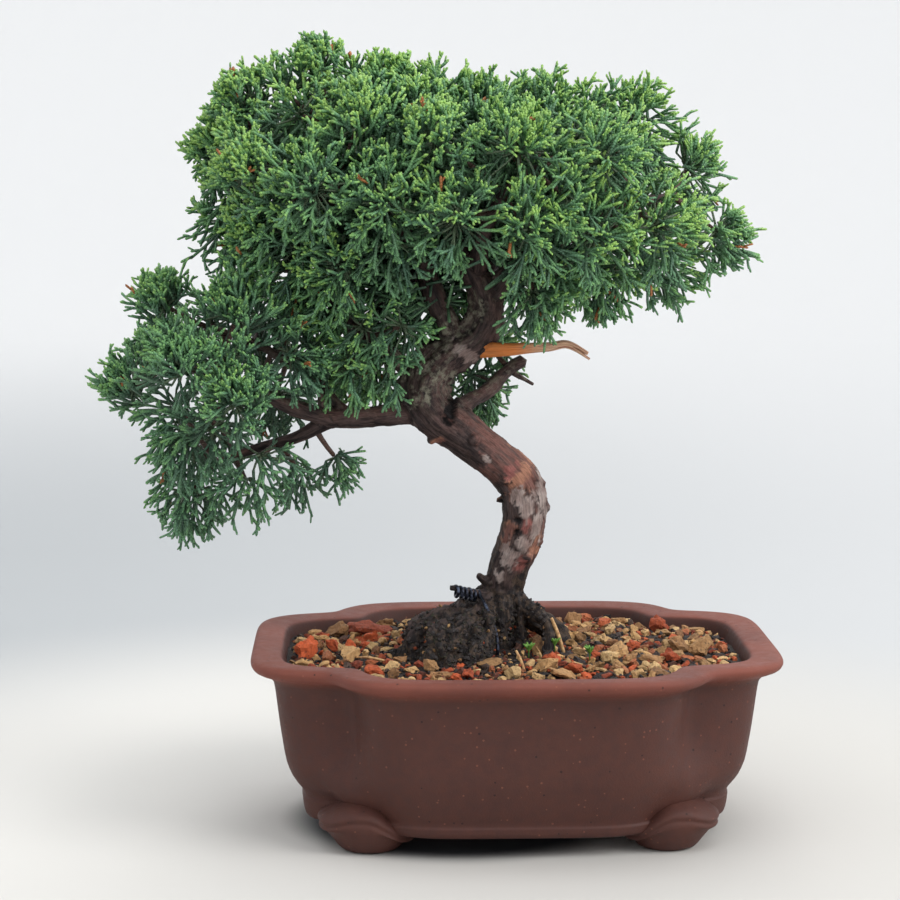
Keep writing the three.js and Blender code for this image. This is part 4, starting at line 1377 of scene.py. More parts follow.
def halved(points: Array, faces: Array) -> tuple[Array, Array]:
    """The same ball with every edge halved and the new points on the unit ball."""
    a, b, c = faces.T
    sides = np.stack([np.stack([a, b], 1), np.stack([b, c], 1), np.stack([c, a], 1)], 1)
    edges, which = np.unique(np.sort(sides.reshape(-1, 2), axis=1), axis=0, return_inverse=True)
    ab, bc, ca = (which.reshape(-1, 3) + len(points)).T
    split = [np.stack(row, 1) for row in ((a, ab, ca), (b, bc, ab), (c, ca, bc), (ab, bc, ca))]
    return unit(np.concatenate([points, points[edges].mean(axis=1)])), np.concatenate(split)


def round_stone(halvings: int) -> tuple[Array, Array]:
    """An icosahedron's points and faces, with its edges halved this often."""
    golden = (1.0 + math.sqrt(5.0)) / 2.0
    signs = np.array([(-1, -1), (1, -1), (-1, 1), (1, 1)], float)
    flat = signs * np.array([1.0, golden])
    zero = np.zeros((4, 1))
    rows = [np.hstack(row) for row in ([flat, zero], [zero, flat], [flat[:, 1:], zero, flat[:, :1]])]
    corners = unit(np.concatenate(rows))
    gaps = np.linalg.norm(corners[:, None] - corners[None], axis=2)
    edge = gaps[gaps > 0.1].min() * 1.01
    triples = np.array(np.meshgrid(*[np.arange(12)] * 3)).T.reshape(-1, 3)
    a, b, c = triples.T
    faces = triples[(a < b) & (b < c) & (gaps[a, b] < edge) & (gaps[b, c] < edge) & (gaps[a, c] < edge)]
    first, second, third = (corners[faces[:, column]] for column in range(3))
    inward = (np.cross(second - first, third - first) * first).sum(axis=1) < 0.0
    faces[inward] = faces[inward][:, ::-1]
    ball = (corners, faces)
    for _ in range(halvings):
        ball = halved(*ball)
    return ball


def rotated(bodies: Array, angles: Array, one: int, two: int) -> Array:
    """Bodies turned from one axis towards the other, each by its own angle."""
    c, s = np.cos(angles)[:, None], np.sin(angles)[:, None]
    turned = bodies.copy()
    turned[..., one] = bodies[..., one] * c - bodies[..., two] * s
    turned[..., two] = bodies[..., one] * s + bodies[..., two] * c
    return turned


@dataclass
class Gravel:
    """The stones on the soil: broken nuggets, each a ball cut by random planes, stretched and turned."""

    tries: int = 7000
    size_steps: tuple = ((0.0, 1.2), (0.72, 1.75), (0.93, 2.7), (0.985, 3.3), (0.996, 4.2), (1.0, 6.0))
    large: float = 3.1
    middling: float = 1.75
    grit: int = 2000
    crumbs: int = 900
    cuts: int = 8
    seed: int = 4
    bare_middle: Spot = (-14.0, -14.0, 0.0)
    bare_reach: float = 46.0
    flat_stone: Spot = (-54.0, 36.0, 67.5)
    flat_stone_half: Spot = (11.0, 8.0, 4.6)

    def nuggets(self, ball: tuple, centres: Array, sizes: Array, draw: np.random.Generator) -> Shell:
        """Stones at these centres.

        A ball's points are pulled back to each of a few random planes, which leaves flat broken faces,
        then stretched along three axes and turned.

        Args:
            ball: The points and the faces of the ball that they are cut from.
            centres: Where they lie, of shape (n, 3).
            sizes: Half lengths along their three axes, of shape (n, 3).
            draw: The random draw.

        Returns:
            The shell with the marks "tone" and "shade".
        """
        points, faces = ball
        count = len(centres)
        body = np.repeat(points[None], count, axis=0)
        planes = unit(draw.normal(size=(count, self.cuts, 3)))
        for cut in range(self.cuts):
            normal = planes[:, cut, None, :]
            over = (body * normal).sum(axis=2, keepdims=True) - draw.uniform(0.4, 0.78, (count, 1, 1))
            body = body - np.maximum(over, 0.0) * normal
        rough = fractal_noise((body * 2.2 + draw.uniform(0.0, 90.0, (count, 1, 1))).reshape(-1, 3), 2, 5)
        body = body * (1.0 + 0.3 * rough.reshape(count, -1, 1)) * sizes[:, None, :]
        turn = draw.uniform(0.0, TURN, count)
        lean = draw.normal(0.0, 0.35, count)
        body = rotated(rotated(body, -lean, 0, 2), turn, 0, 1)
        placed = (body + centres[:, None, :]).reshape(-1, 3)
        every = (faces[None] + (np.arange(count) * len(points))[:, None, None]).reshape(-1, 3)
        tone = np.repeat(draw.uniform(0.0, 1.0, count), len(points))
        shade = np.repeat(draw.uniform(0.7, 1.12, count), len(points))
        return Shell(placed, [every], {"tone": tone, "shade": shade}, smooth=False)

    def scatter(self, pot: Pot, soil: Soil, grain: Grain, draw: np.random.Generator) -> tuple[Array, Array]:
        """Places for the stones, by dropping them in turn where none lies yet.

        Args:
            pot: The pot, for its inner outline.
            soil: The soil they lie on.
            grain: The wood they keep clear of.
            draw: The random draw.

        Returns:
            Their centres and half lengths.
        """
        angle = draw.uniform(0.0, TURN, self.tries)
        share = np.sqrt(draw.uniform(0.0, 1.0, self.tries)) * 0.985
        steps = np.array(self.size_steps)
        half = np.interp(draw.uniform(0.0, 1.0, self.tries), steps[:, 0], steps[:, 1])
        half = np.sort(half)[::-1]
        rim = pot.outline(angle, soil.wall_inset) - half
        flat = placed_round(angle, rim * share)
        away = np.linalg.norm(flat - np.array(self.bare_middle), axis=1)
        bare = 1.0 - eased(away, self.bare_reach * 0.45, self.bare_reach)
        kept_draw = draw.uniform(0.0, 1.0, self.tries) > bare * 0.72
        kept: list[int] = []
        for one in np.flatnonzero(kept_draw):
            gap = np.linalg.norm(flat[kept] - flat[one], axis=1) - (half[kept] + half[one]) * 0.74
            if not kept or gap.min() > 0.0:
                kept.append(int(one))
        flat, half = flat[kept], half[kept]
        wide, high = draw.uniform(0.5, 0.92, len(half)), draw.uniform(0.45, 0.8, len(half))
        sizes = half[:, None] * np.stack([np.full(len(half), 1.12), wide, high], axis=1)
        centres = flat + UP * (soil.height(flat, pot) + sizes[:, 2] * 0.55)[:, None]
        _, gap = grain.nearest(centres)
        clear = gap > half * 0.6
        return centres[clear], sizes[clear]

    def build(self, pot: Pot, soil: Soil, grain: Grain) -> None:
        """Builds the stones, the dark grit between them and the large flat stone."""
        draw = np.random.default_rng(self.seed)
        centres, sizes = self.scatter(pot, soil, grain, draw)
        large = sizes[:, 0] > self.large
        middling = (sizes[:, 0] > self.middling) & ~large
        kinds = ((2, large), (1, middling), (0, ~large & ~middling))
        stones = [self.nuggets(round_stone(fine), centres[kind], sizes[kind], draw) for fine, kind in kinds]
        stones[0].marks["tone"] *= 0.56
        flat_stone = np.array([self.flat_stone]), np.array([self.flat_stone_half])
        stones.append(self.nuggets(round_stone(2), *flat_stone, draw).marked(tone=0.6, shade=0.85))
        gravel = Shell.joined(stones)
        gravel.smooth = False
        piece(gravel, "gravel", STONE, "grit", "soil")
        angle = draw.uniform(0.0, TURN, self.grit)
        rim = pot.outline(angle, soil.wall_inset + 1.5)
        flat = placed_round(angle, rim * np.sqrt(draw.uniform(0.0, 1.0, self.grit)))
        half = draw.uniform(0.45, 1.35, self.grit)
        places = flat + UP * (soil.height(flat, pot) + half * 0.5)[:, None]
        small = self.nuggets(round_stone(0), places, half[:, None] * np.array([1.2, 0.9, 0.8]), draw)
        small.marks["tone"] = 1.0 - 0.55 * small.marks["tone"] ** 1.6
        small.marks["shade"] *= 0.8
        piece(small, "fine_grit", STONE, "grit", "soil")

    def stick(self, body: Shell) -> None:
        """Crumbs of soil and a few grains of grit that stick to the skin of the root clump."""
        draw = np.random.default_rng(self.seed + 1)
        x, y, z = body.points.T
        low = (z < 92.0) & (z > 68.0) & (x < 12.0) & (y < 6.0)
        low &= draw.uniform(size=len(z)) < 1.0 - eased(z, 82.0, 92.0)
        places = body.points[draw.choice(np.flatnonzero(low), self.crumbs)]
        half = draw.uniform(0.35, 1.25, self.crumbs)
        half = half * np.where(draw.uniform(size=self.crumbs) < 0.06, 1.5, 1.0)
        crumbs = self.nuggets(round_stone(0), places, half[:, None] * np.array([1.2, 0.9, 0.9]), draw)
        kind = np.repeat(draw.uniform(size=self.crumbs), 12)
        crumbs.marks["tone"] = np.where(kind < 0.07, 0.1 + 6.0 * kind, 0.8 + 0.2 * kind)
        crumbs.marks["shade"] *= 0.75
        piece(crumbs, "clump_crumbs", STONE, "grit")


@dataclass
class TieWire:
    """The old wire: a close coil round a cut stub and a tail that runs down into the soil."""

    radius: float = 0.66
    coil_radius: float = 1.95
    turns: float = 5.4
    pitch: float = 1.95
    stub_tip: Spot = (-24.6, -10.0, 93.2)
    stub_inner: Spot = (-15.0, -6.0, 90.4)
    tail: tuple = (
        (-13, -9.5, 90.5), (-10, -14.5, 85), (-7.4, -15.6, 77), (-6.6, -15.8, 68), (-6.5, -15, 60),
    )

    def build(self) -> None:
        """Winds a helix along the stub, runs on through the tail's points, and dresses the wire.

        The wire never runs along its helper, which turns evenly from the stub's direction to the right.
        """
        tip = np.array(self.stub_tip)
        inward = unit(np.array(self.stub_inner) - tip)
        side = unit(np.cross(UP, inward))
        up = np.cross(inward, side)
        turn = np.linspace(0.0, self.turns, int(self.turns * 20))[:, None]
        angle = turn * TURN
        wobble = 1.0 + 0.06 * np.sin(angle * 0.37)
        helix = tip + inward * (1.2 + turn * self.pitch)
        helix = helix + self.coil_radius * wobble * (np.cos(angle) * side + np.sin(angle) * up)
        line = np.concatenate([helix, curve_through(np.array([helix[-1], *self.tail], float), 12)[1:]])
        share = eased(np.arange(len(line)).astype(float), len(line) * 0.7, len(line) * 0.9)[:, None]
        helper = unit(inward * (1.0 - share) + np.array([1.0, 0.2, 0.0]) * share)
        shell = tubes(line[None], np.full((1, len(line)), self.radius), 10, 0.2, helper[None])
        piece(shell, "training_wire", WIRE, "tie_wire", "tie_wire")


@dataclass
class SoilLitter:
    """Small green seedlings and dry straws on the soil."""

    seedlings: tuple = ((4.9, -23.0, 69.5), (15.6, -14.5, 70.0), (28.1, -28.5, 69.5), (5.5, 20.0, 70.5))
    leaves: int = 7
    straws: tuple = (
        ((-1.0, -38.0, 75.0, 0.45), (0.8, -39.0, 71.5, 0.6), (2.6, -40.0, 66.0, 0.5)),
        ((14.6, -10.0, 82.0, 0.6), (17.0, -11.0, 76.0, 0.8), (19.4, -12.0, 68.5, 0.7)),
        ((-62.0, -20.0, 69.0, 0.4), (-56.0, -24.0, 69.5, 0.5), (-50.0, -26.0, 68.6, 0.4)),
    )
    seed: int = 9

    def build(self) -> None:
        """Builds and dresses them."""
        draw = np.random.default_rng(self.seed)
        roots = np.repeat(np.array(self.seedlings), self.leaves, axis=0)
        turn = np.arange(len(roots)) * GOLDEN_TURN
        leaf = placed_round(turn, 1.0, 0.9) * draw.uniform(1.4, 2.4, len(roots))[:, None]
        crown = roots + UP * 3.0
        line = np.stack([roots - UP, roots + UP * 2.0, crown + leaf * 0.5, crown + leaf], axis=1)
        radii = np.repeat(np.array([[0.25, 0.25, 0.55, 0.3]]), len(roots), axis=0)
        piece(tubes(line, radii, 6, 0.8), "seedlings", SEEDLING, "foliage", "soil")
        lines = [limb_line(knots, 1.0)[None] for knots in self.straws]
        straws = [tubes(line[..., :3], line[..., 3], 7, 0.4) for line in lines]
        piece(Shell.joined(straws), "dry_twigs", STRAW, "bark", "soil")


# Foliage


@dataclass(frozen=True)
class Habit:
    """How the sprays of a tuft grow. Lengths are in millimetres, spreads in degrees.

    Attributes:
        sprays: Sprays in a tuft.
        length: Length of a spray.
        side_length: Length of the lowest side cord.
        side_spread: How far a side cord leans from its spray.
        flatness: 1 for side cords in one plane, 0 for cords all round.
        bud_length: Length of the short cord on a side cord.
        bud_spread: How far it leans.
        lift: How strongly a spray turns upwards, or down where it is negative.
        thickness: Radius of a cord.
    """

    sprays: int
    length: float
    side_length: float
    side_spread: float
    flatness: float
    bud_length: float
    bud_spread: float
    lift: float
    thickness: float


class Growth(Enum):
    """The ways in which this tree's tufts grow."""

    KNOBBLY = Habit(48, 12.5, 5.6, 43.0, 0.3, 3.2, 42.0, 0.5, 0.62)
    UPRIGHT = Habit(38, 15.0, 7.0, 38.0, 0.5, 4.0, 36.0, 0.7, 0.58)
    FINE = Habit(42, 15.0, 6.8, 40.0, 0.5, 3.8, 38.0, 0.35, 0.57)
    WHIPPY = Habit(32, 19.0, 8.8, 38.0, 0.6, 4.6, 34.0, 0.15, 0.56)
    HANGING = Habit(30, 18.5, 8.6, 38.0, 0.6, 4.6, 34.0, -0.4, 0.56)
    SPARSE = Habit(11, 17.0, 8.6, 38.0, 0.7, 4.4, 36.0, -0.6, 0.55)
    BETWEEN = Habit(14, 16.0, 7.4, 38.0, 0.5, 4.0, 38.0, 0.2, 0.58)


GROWTH_OF = {
    "crown_left": Growth.KNOBBLY,
    "crown_top": Growth.KNOBBLY,
    "crown_front": Growth.FINE,
    "crown_right": Growth.WHIPPY,
    "crown_low": Growth.HANGING,
    "pad_left": Growth.UPRIGHT,
    "pad_right": Growth.HANGING,
}


def growth_of(name: str, middle: Array) -> Growth:
    """The growth of a tuft, by its group and by where its middle sits in it."""
    x, _, z = middle
    if "pad" in name and z < 150.0 and x > -116.0 or z < 172.0 and x > -30.0:
        return Growth.SPARSE
    if "crown_top" in name and x > -30.0:
        return Growth.FINE
    if "crown_front" in name and x > -10.0:
        return Growth.WHIPPY
    if "pad_left" in name and z < 160.0:
        return Growth.HANGING
    return next(way for group, way in GROWTH_OF.items() if group in name)


def on_curve(curves: Array, u: Array) -> Array:
    """Places on quadratic curves: (1 - u)^2 * start + 2u(1 - u) * bend + u^2 * end."""
    start, bend, end = curves[:, None, 0], curves[:, None, 1], curves[:, None, 2]
    return (1 - u) ** 2 * start + 2 * u * (1 - u) * bend + u**2 * end


def grow_cords(curves: Array, places: tuple[float, ...], radii: Array, sides: int) -> Shell:
    """Cords along quadratic curves, with a ring at each of these places on them."""
    return tubes(on_curve(curves, np.array(places)[None, :, None]), radii, sides, 1.1)


def over_ball(count: int, turn: Array) -> Array:
    """Directions at even heights over the ball, each with its own turn round the upright axis."""
    rise = 1.0 - (2.0 * np.arange(count) + 1.0) / count
    return placed_round(turn, np.sqrt(1.0 - rise**2), rise)


@dataclass(frozen=True)
class Mass:
    """A large mass of foliage: an ellipsoid whose inside is painted dark as shade."""

    middle: Spot
    half: Spot

    def outerness(self, points: Array) -> Array:
        """0 in the middle and 1 on the ellipsoid."""
        return np.linalg.norm((points - np.array(self.middle)) / np.array(self.half), axis=-1)


CROWN = Mass((-30.0, 2.0, 244.0), (116.0, 72.0, 64.0))
PAD = Mass((-106.0, 2.0, 176.0), (66.0, 54.0, 52.0))

# Middles of the foliage between the CAD's tufts, in millimetres
FILLERS = {
    "crown_left": (
        (-82, -21, 277), (-106, -9, 249), (-85, -13, 221), (-102, 16, 272), (-100, -20, 268), (-82, -26, 228),
        (-87, -33, 242), (-89, -3, 286), (-86, 30, 268), (-92, 4, 240), (-100, 6, 224), (-72, 10, 240),
        (-112, -2, 262), (-112, 4, 236),
    ),
    "crown_top": (
        (-38, -19, 278), (-8, -22, 271), (7, -23, 271), (-28, 23, 276), (-24, -20, 268), (-12, 25, 274),
        (-58, 22, 282), (-53, -16, 278), (-74, 20, 284), (-42, 24, 278), (-56, 2, 262), (-36, -2, 256),
        (-14, 2, 254), (8, 2, 254), (-60, -4, 288), (-30, 3, 284), (0, 1, 278), (-43, 45, 256),
        (-64, -16, 258),
    ),
    "crown_right": (
        (50, 22, 260), (37, -20, 267), (22, -21, 268), (55, 21, 234), (42, -23, 226), (40, 44, 257),
        (34, 0, 250), (30, 1, 276), (36, 24, 270), (20, 22, 256), (14, -24, 250),
    ),
    "crown_low": (
        (-28, 20, 226), (16, -46, 248), (16, -33, 221), (-25, 44, 236), (-49, 32, 220), (-46, -38, 230),
        (10, 38, 230), (26, 30, 238), (-69, -17, 215), (-66, 8, 194), (-52, 10, 186), (-36, 22, 178),
        (-22, 28, 178), (-14, 27, 174), (-48, 4, 212), (-34, 12, 196), (-12, 22, 206), (5, -34, 211),
        (-8, 24, 186), (-14, 2, 232), (12, -4, 232), (-58, -20, 197), (-50, -16, 184), (-44, -24, 198),
        (-64, -14, 182), (-40, 4, 240), (-62, 8, 240), (-28, -6, 244), (4, 18, 244), (-52, -4, 224),
        (-34, 6, 220), (-70, 18, 222), (-10, 26, 238), (-84, 16, 216),
    ),
    "pad": (
        (-105, 0, 198), (-132, 12, 164), (-118, 10, 196), (-128, -14, 186), (-108, -30, 186), (-84, 6, 200),
        (-118, 4, 178), (-98, 14, 178), (-99, -10, 147), (-117, -16, 158), (-106, -22, 168),
    ),
}


@dataclass
class Tuft:
    """One tuft of foliage, grown in a given form.

    Sprays start in the tuft at different depths and head outwards from it and from the crown. None ends
    much farther out than the form does that way, apart from whips and sprays towards a neighbour, with
    whose sprays they mingle. Each has side cords by turns on its two sides, each side cord has a short bud,
    and thin twigs tie the sprays to the twig that carries the tuft.

    Attributes:
        number: The number that its random draw starts from.
        points: The surface that it fills.
        middle: The point that it grows from.
        habit: How it grows.
        mass: The large mass of foliage that it belongs to.
        beside: Directions to its neighbours.
    """

    number: int
    points: Array
    middle: Array
    habit: Habit
    mass: Mass
    beside: Array
    side_cords: int = 4
    over_reach: float = 0.9
    hanging_reach: float = 1.3
    mingling: float = 0.5
    whips: int = 9
    follow: float = 0.3
    right_end: float = 60.0
    top_end: float = 286.0
    end_reach: float = 0.84
    corner: tuple[float, float] = (66.0, 226.0)
    corner_reach: float = 0.88
    clear: float = 0.7
    dead_share: float = 0.005

    def __post_init__(self) -> None:
        """Starts the random draw, and finds the way out of the mass."""
        self.draw = np.random.default_rng(1000 + self.number)
        self.outward = unit(self.middle - np.array(self.mass.middle))

    def directions(self) -> Array:
        """Even directions over the ball, without most of the ones that look into the crown."""
        count = int(self.habit.sprays * 1.25)
        turn = (np.arange(count) + 0.5) * GOLDEN_TURN + self.draw.uniform(0.0, TURN)
        aims = over_ball(count, turn)
        aims = unit(aims + self.draw.normal(0.0, 0.2, aims.shape))
        outward = aims @ self.outward + self.draw.normal(0.0, 0.25, count)
        return aims[np.argsort(-outward)[: self.habit.sprays]]

    def reach(self, aims: Array) -> Array:
        """How far a spray may reach each way.

        That is the form's far points weighted by how well they lie that way, more towards a neighbour, and
        more straight down where the sprays hang.
        """
        offset = self.points - self.middle
        far = np.linalg.norm(offset, axis=1)
        outer = far > np.percentile(far, 45.0)
        lies = aims @ unit(offset[outer]).T
        weight = np.exp(9.0 * (lies - 1.0))
        mean = (weight * far[outer]).sum(axis=1) / weight.sum(axis=1)
        hanging = 1.0 + (self.hanging_reach - 1.0) * eased(-aims[:, 2], 0.25, 0.8) * (self.habit.lift < 0.4)
        inside = eased((aims @ self.beside.T).max(axis=1), 0.5, 0.9) if len(self.beside) else 0.0
        form = np.maximum(mean, 0.86 * np.percentile(far, 97.0)) * self.over_reach
        return form * np.maximum(hanging, 1.0 + self.mingling * inside)

    def sprays(self) -> Array:
        """The main cord of each spray as a quadratic curve.

        At the crown's right end, on its top and at the corner between them they are kept shorter.
        """
        habit, draw = self.habit, self.draw
        aims = self.directions()
        count = len(aims)
        furthest = 0.3 if habit is Growth.SPARSE.value else 0.64
        root = self.middle + aims * (self.reach(aims) * draw.uniform(0.08, furthest, count))[:, None]
        lift = habit.lift - 0.9 * eased(-aims[:, 2], 0.3, 0.9) * (habit.lift < 0.4)
        heading = aims * 0.62 + self.outward * 0.42 + UP * lift[:, None] + draw.normal(0.0, 0.3, (count, 3))
        heading = unit(heading * np.array([1.0, 0.72, 1.0]))
        tip = root + heading * (habit.length * draw.uniform(0.65, 1.2, count))[:, None]
        offset = tip - self.middle
        far = np.linalg.norm(offset, axis=1)
        limit = self.reach(unit(offset)) * draw.uniform(0.82, 1.02, count) - habit.side_length * 0.12
        x, _, z = self.middle
        limit = limit * (self.end_reach if x > self.right_end or z > self.top_end else 1.0)
        limit = limit * (self.corner_reach if x > self.corner[0] and z > self.corner[1] else 1.0)
        whip = np.arange(count) % max(1, count // self.whips) == 0
        limit = limit * np.where(whip, 1.1 if habit is Growth.KNOBBLY.value else 1.26, 1.0)
        tip = self.middle + offset * np.where(whip, limit / far, np.minimum(1.0, limit / far))[:, None]
        bow = (root + tip) / 2 + draw.normal(0.0, 0.8, (count, 3)) - UP * (habit.lift * 1.6)
        return np.stack([root, bow, tip], axis=1)

    def offshoots(self, parents: Array, each: int, low: float, length: float, spread: float) -> Array:
        """Cords that leave their parents by turns on two sides, shorter towards the parent's tip.

        A cord leans from its parent's run by spread, and its outer half bends back towards the run.

        Args:
            parents: Start, bend and end of each parent, of shape (n, 3, 3).
            each: Cords on a parent.
            low: The share of the parent at which the first one leaves.
            length: Length of the first one.
            spread: How far they lean, in degrees.

        Returns:
            Start, bend and end of each cord, of shape (n * each, 3, 3).
        """
        draw = self.draw
        place = np.linspace(low, 0.88, each) if each > 1 else np.array([0.55])
        u = np.clip(place + draw.normal(0.0, 0.03, (len(parents), each)), 0.1, 1.0)[..., None]
        rolls = np.arange(each) * math.pi + draw.uniform(0.0, TURN, (len(parents), 1))
        loose = 0.25 + 1.4 * (1.0 - self.habit.flatness)
        rolls = (rolls + draw.normal(0.0, loose, rolls.shape))[..., None]
        length = length * (1.2 - 0.6 * u) * draw.uniform(0.6, 1.25, u.shape)
        root = on_curve(parents, u)
        steps = np.diff(parents, axis=1)[:, None]
        run = unit((1 - u) * steps[:, :, 0] + u * steps[:, :, 1])
        across = unit(np.cross(run, np.eye(3)[np.abs(run).argmin(axis=-1)]))
        side = np.cos(rolls) * across + np.sin(rolls) * np.cross(run, across)
        lean = math.radians(spread)
        aim = math.cos(lean) * run + math.sin(lean) * side
        bent = unit(aim * (1 - self.follow) + run * self.follow)
        tip = root + bent * length * 0.5 + aim * length * 0.5
        return np.stack([root, root + aim * length * 0.5, tip], axis=-2).reshape(-1, 3, 3)

    def shell(self, grain: Grain) -> Shell:
        """The tuft's cords and twigs, with the marks that the foliage finish reads."""
        habit, draw = self.habit, self.draw
        sprays = self.sprays()
        sides = self.offshoots(sprays, self.side_cords, 0.24, habit.side_length, habit.side_spread)
        buds = self.offshoots(sides, 1, 0.5, habit.bud_length, habit.bud_spread)
        spray_tone = draw.uniform(0.0, 1.0, len(sprays)) * (0.4 if self.mass is PAD else 1.0)
        painted_light_side = self.outward * 0.5 + UP * 0.8
        vigour = draw.uniform(0.84, 1.16) * (0.82 if self.mass is PAD else 1.0)
        dead = draw.uniform(size=len(sides)) < self.dead_share
        layers = (
            (sprays, (0.0, 0.5, 1.0), (1.05, 1.0, 0.85), 4, 0.05, 0.9),
            (sides, (0.0, 0.5, 0.96), (0.85, 1.0, 0.85), 4, 0.2, 0.95),
            (buds, (0.0, 0.9), (0.85, 0.9), 3, 0.45, 1.0),
        )
        parts = []
        for curves, places, widths, corners, low, high in layers:
            tone = np.repeat(spray_tone, len(curves) // len(sprays))
            tone = np.clip(tone * 0.7 + draw.uniform(0.0, 0.3, len(curves)), 0.0, 1.0) * 0.95
            if curves is not sprays:
                tone = np.where(dead, 1.0, tone)
            gap = grain.clearance(curves[:, 1:].reshape(-1, 3), self.middle)
            kept = gap.reshape(-1, 2).min(axis=1) > self.clear
            if not kept.any():
                continue
            radii = habit.thickness * np.array(widths) * draw.uniform(0.88, 1.12, (len(curves), 1))
            part = grow_cords(curves[kept], places, radii[kept], corners)
            # The tip mark: lighter towards each cord's end, painted shade deeper in the mass, and painted
            # light on the side of the tuft that looks up and outwards.
            outer = eased(self.mass.outerness(part.points), 0.3, 0.9)
            tip = (low + (high - low) * part.marks["grown"] ** 2.0) * (0.35 + 0.65 * outer)
            tip = tip * vigour * (0.5 + 0.62 * eased((part.points - self.middle) @ painted_light_side, -11.0, 12.0))
            tone = np.repeat(tone[kept], len(part.points) // int(kept.sum()))
            parts.append(part.marked(tip=tip, tone=tone, wood=0.0))
        shell = Shell.joined(parts + self.twigs(sprays, grain))
        shell.marks.pop("grown")
        return shell

    def twigs(self, sprays: Array, grain: Grain) -> list[Shell]:
        """The carrying twig, from the nearest wood to the tuft's middle, and thin ones to the sprays."""
        near_one, _ = grain.nearest(self.middle[None])
        start = grain.centres[near_one[0]]
        bend = (start + self.middle) / 2 + UP * -1.2
        widths = np.array([[1.3, 1.1, 1.0, 0.9]])
        carrier = grow_cords(np.stack([start, bend, self.middle])[None], (0.0, 0.3, 0.6, 0.9), widths, 7)
        roots = sprays[:, 0]
        bends = self.middle + (roots - self.middle) * 0.5 + self.draw.normal(0.0, 1.0, roots.shape)
        middles = np.repeat(self.middle[None], len(roots), axis=0)
        thin = np.repeat(np.array([[0.6, 0.52, 0.5]]), len(roots), axis=0)
        ties = grow_cords(np.stack([middles, bends, roots], axis=1), (0.0, 0.5, 1.0), thin, 3)
        return [carrier.marked(tip=0.2, tone=0.5, wood=1.0), ties.marked(tip=0.16, tone=0.5, wood=0.4)]


@dataclass
class Foliage:
    """All tufts of the crown and of the low left pad, and the foliage between them.

    Attributes:
        grain: The wood, which the cords keep clear of.
    """

    grain: Grain
    neighbourhood: float = 46.0
    filler_radius: float = 13.5
    first_filler: int = 201
    shade_tries: int = 26000

    def __post_init__(self) -> None:
        """Reads each tuft's form from its CAD node, with the mean of its inner points as its middle."""
        names = sorted(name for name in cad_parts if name.startswith("foliage_"))
        self.forms = {name: points_of(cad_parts[name].data) for name in names}
        self.middles = {}
        for name, points in self.forms.items():
            rough = np.median(points, axis=0)
            self.middles[name] = points[np.linalg.norm(points - rough, axis=1) < 22.0].mean(axis=0)
        self.every = np.array(list(self.middles.values()))

    def tuft(self, number: int, name: str, form: Array, middle: Array, growth: Growth) -> Shell:
        """Grows one tuft, which knows the directions to the CAD's tufts in its neighbourhood."""
        offset = self.every - middle
        far = np.linalg.norm(offset, axis=1)
        beside = unit(offset[(far > 1.0) & (far < self.neighbourhood)])
        mass = PAD if "pad" in name else CROWN
        return Tuft(number, form, middle, growth.value, mass, beside).shell(self.grain)

    def build(self) -> None:
        """Grows every tuft in its form, the foliage between them on small balls, and the shade shoots."""
        for number, (name, middle) in enumerate(self.middles.items()):
            shell = self.tuft(number, name, self.forms[name], middle, growth_of(name, middle))
            piece(shell, name.replace("foliage_", "sprays_"), FOLIAGE, "foliage", name)
        fillers = {group: np.array(places, float) for group, places in FILLERS.items()}
        ball = self.filler_radius * over_ball(60, np.arange(60) * GOLDEN_TURN)
        number = self.first_filler
        for group, places in fillers.items():
            numbered = enumerate(places, number)
            shells = [self.tuft(n, group, place + ball, place, Growth.BETWEEN) for n, place in numbered]
            piece(Shell.joined(shells), "inner_sprays_" + group, FOLIAGE, "foliage")
            number += len(places)
        middles = np.concatenate([self.every, *fillers.values()])
        piece(self.shade_shoots(middles), "shade_sprays", FOLIAGE, "foliage")

    def shade_shoots(self, middles: Array) -> Shell:
        """Short shoots deep in the crown, painted dark as shade, wherever three of the tufts with these
        middles are close.
        """
        draw = np.random.default_rng(77)
        roots = draw.uniform(middles.min(axis=0), middles.max(axis=0), (self.shade_tries, 3))
        gaps = np.sort(np.linalg.norm(roots[:, None] - middles[None], axis=2), axis=1)
        roots = roots[(gaps[:, 2] < 25.0) & (CROWN.outerness(roots) < 0.66)]
        count = len(roots)
        near_one, _ = self.grain.nearest(roots)
        away = unit(roots - self.grain.centres[near_one])
        aims = unit(away + draw.normal(0.0, 0.7, (count, 3)) + UP * 0.3)
        tips = roots + aims * draw.uniform(8.0, 15.0, (count, 1))
        bends = (roots + tips) / 2 + draw.normal(0.0, 1.2, (count, 3))
        curves = np.stack([roots, bends, tips], axis=1)
        gap = self.grain.clearance(curves.reshape(-1, 3), middles[0])
        curves = curves[gap.reshape(-1, 3).min(axis=1) > 1.0]
        radii = draw.uniform(0.55, 0.85, (len(curves), 1)) * np.ones((1, 2))
        shell = grow_cords(curves, (0.0, 0.92), radii, 3)
        tone = np.repeat(draw.uniform(0.2, 0.95, len(curves)), len(shell.points) // len(curves))
        # A low tip mark paints them dark as shade.
        return shell.marked(tip=0.3 * shell.marks.pop("grown"), tone=tone, wood=0.0)


# The studio


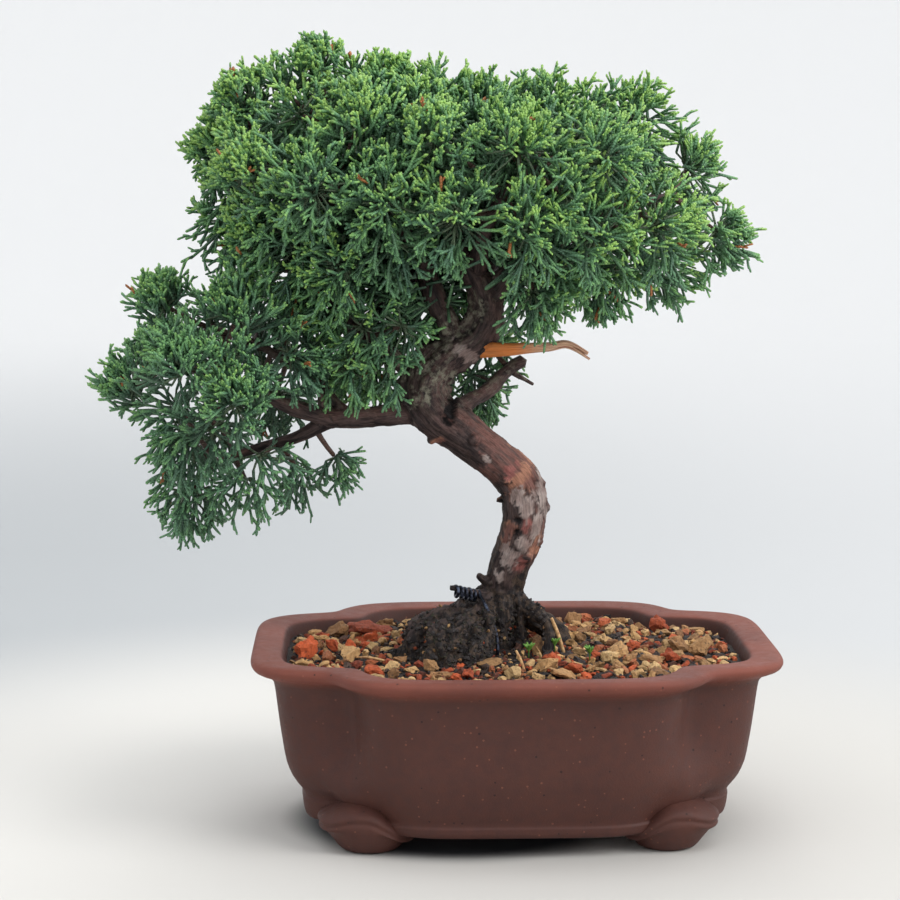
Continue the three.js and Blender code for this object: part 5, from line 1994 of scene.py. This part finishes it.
@dataclass
class Studio:
    """Floor, lights and camera."""

    camera_at: Spot = (-56.5, -957.0, 268.0)
    pitch: float = 0.1255
    pan: float = 0.0331
    lens: float = 98.48
    floor_radius: float = 2.4
    wall_height: float = 2.2
    aim_height: float = 0.15

    def floor(self) -> None:
        """A round pale floor that curves up into a wall all round, as one surface turned about z."""
        turn = np.linspace(0.0, 1.0, 24) * math.pi / 2
        flat = np.column_stack([np.linspace(0.02, self.floor_radius, 12), np.zeros(12)])
        bend = np.column_stack([np.sin(turn) + self.floor_radius, 1.0 - np.cos(turn)])
        rise = np.column_stack([np.full(6, self.floor_radius + 1.0), np.linspace(1.1, self.wall_height, 6)])
        profile = np.concatenate([flat, bend[1:], rise])
        angle = np.arange(96) / 96 * TURN
        rings = placed_round(angle, profile[:, :1], profile[:, 1:])
        shell = Shell(rings.reshape(-1, 3) / MM - POT_MIDDLE / MM, [grid_faces(len(profile), 96)])
        ground = linked("floor", shell.mesh("floor"))
        ground.data.materials.append(FLOOR.material())

    def light(self, name: str, at: Spot, side: float, watts: float, colour: Colour = (1.0, 1.0, 1.0)) -> None:
        """A square area light at a place in metres that looks at the tree."""
        data = bpy.data.lights.new(name, "AREA")
        data.size = side
        data.energy = watts
        data.color = colour
        lamp = linked(name, data)
        lamp.location = at
        aim = UP * self.aim_height - np.array(at)
        yaw = math.atan2(aim[1], aim[0]) - math.pi / 2
        tilt = math.atan2(float(np.hypot(aim[0], aim[1])), -aim[2])
        lamp.rotation_euler = (tilt, 0.0, yaw)

    def build(self) -> None:
        """Floor, even world light, three soft lamps and the camera."""
        self.floor()
        world = bpy.data.worlds.new("studio")
        bpy.context.scene.world = world
        world.use_nodes = True
        sky = world.node_tree.nodes["Background"].inputs
        sky["Color"].default_value = (0.96, 0.98, 1.0, 1.0)
        sky["Strength"].default_value = 1.05
        self.light("key_light", (1.35, -0.75, 1.0), 0.9, 17.0, (1.0, 0.985, 0.96))
        self.light("top_light", (0.1, -0.3, 1.7), 1.2, 7.0)
        self.light("back_light", (0.3, 1.0, 1.4), 0.8, 5.0)
        bpy.context.scene.view_settings.view_transform = "Standard"
        data = bpy.data.cameras.new("camera")
        data.lens = self.lens
        data.clip_start = 0.05
        camera = linked("camera", data)
        camera.location = np.array(self.camera_at) * MM + POT_MIDDLE
        camera.rotation_euler = (math.pi / 2 - self.pitch, 0.0, -self.pan)
        bpy.context.scene.camera = camera


def dress_netting() -> None:
    """Gives the two nettings over the drain holes, which stay as CAD has them, their moulded finish."""
    for name in ("drain_netting_left", "drain_netting_right"):
        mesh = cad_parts[name].data
        mesh.materials.clear()
        mesh.materials.append(NETTING.material())
        LOG.info("%s: kept from CAD", name)


def main() -> None:
    """Builds the bonsai piece by piece, then the studio."""
    logging.basicConfig(level=logging.INFO, format="%(message)s")
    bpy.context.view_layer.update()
    Studio().build()
    pot = Pot()
    pot.build()
    grain, body = Wood().build()
    soil = Soil()
    soil.build(pot)
    gravel = Gravel()
    gravel.build(pot, soil, grain)
    gravel.stick(body)
    SoilLitter().build()
    TieWire().build()
    Foliage(grain).build()
    dress_netting()


if __name__ == "__main__":
    main()
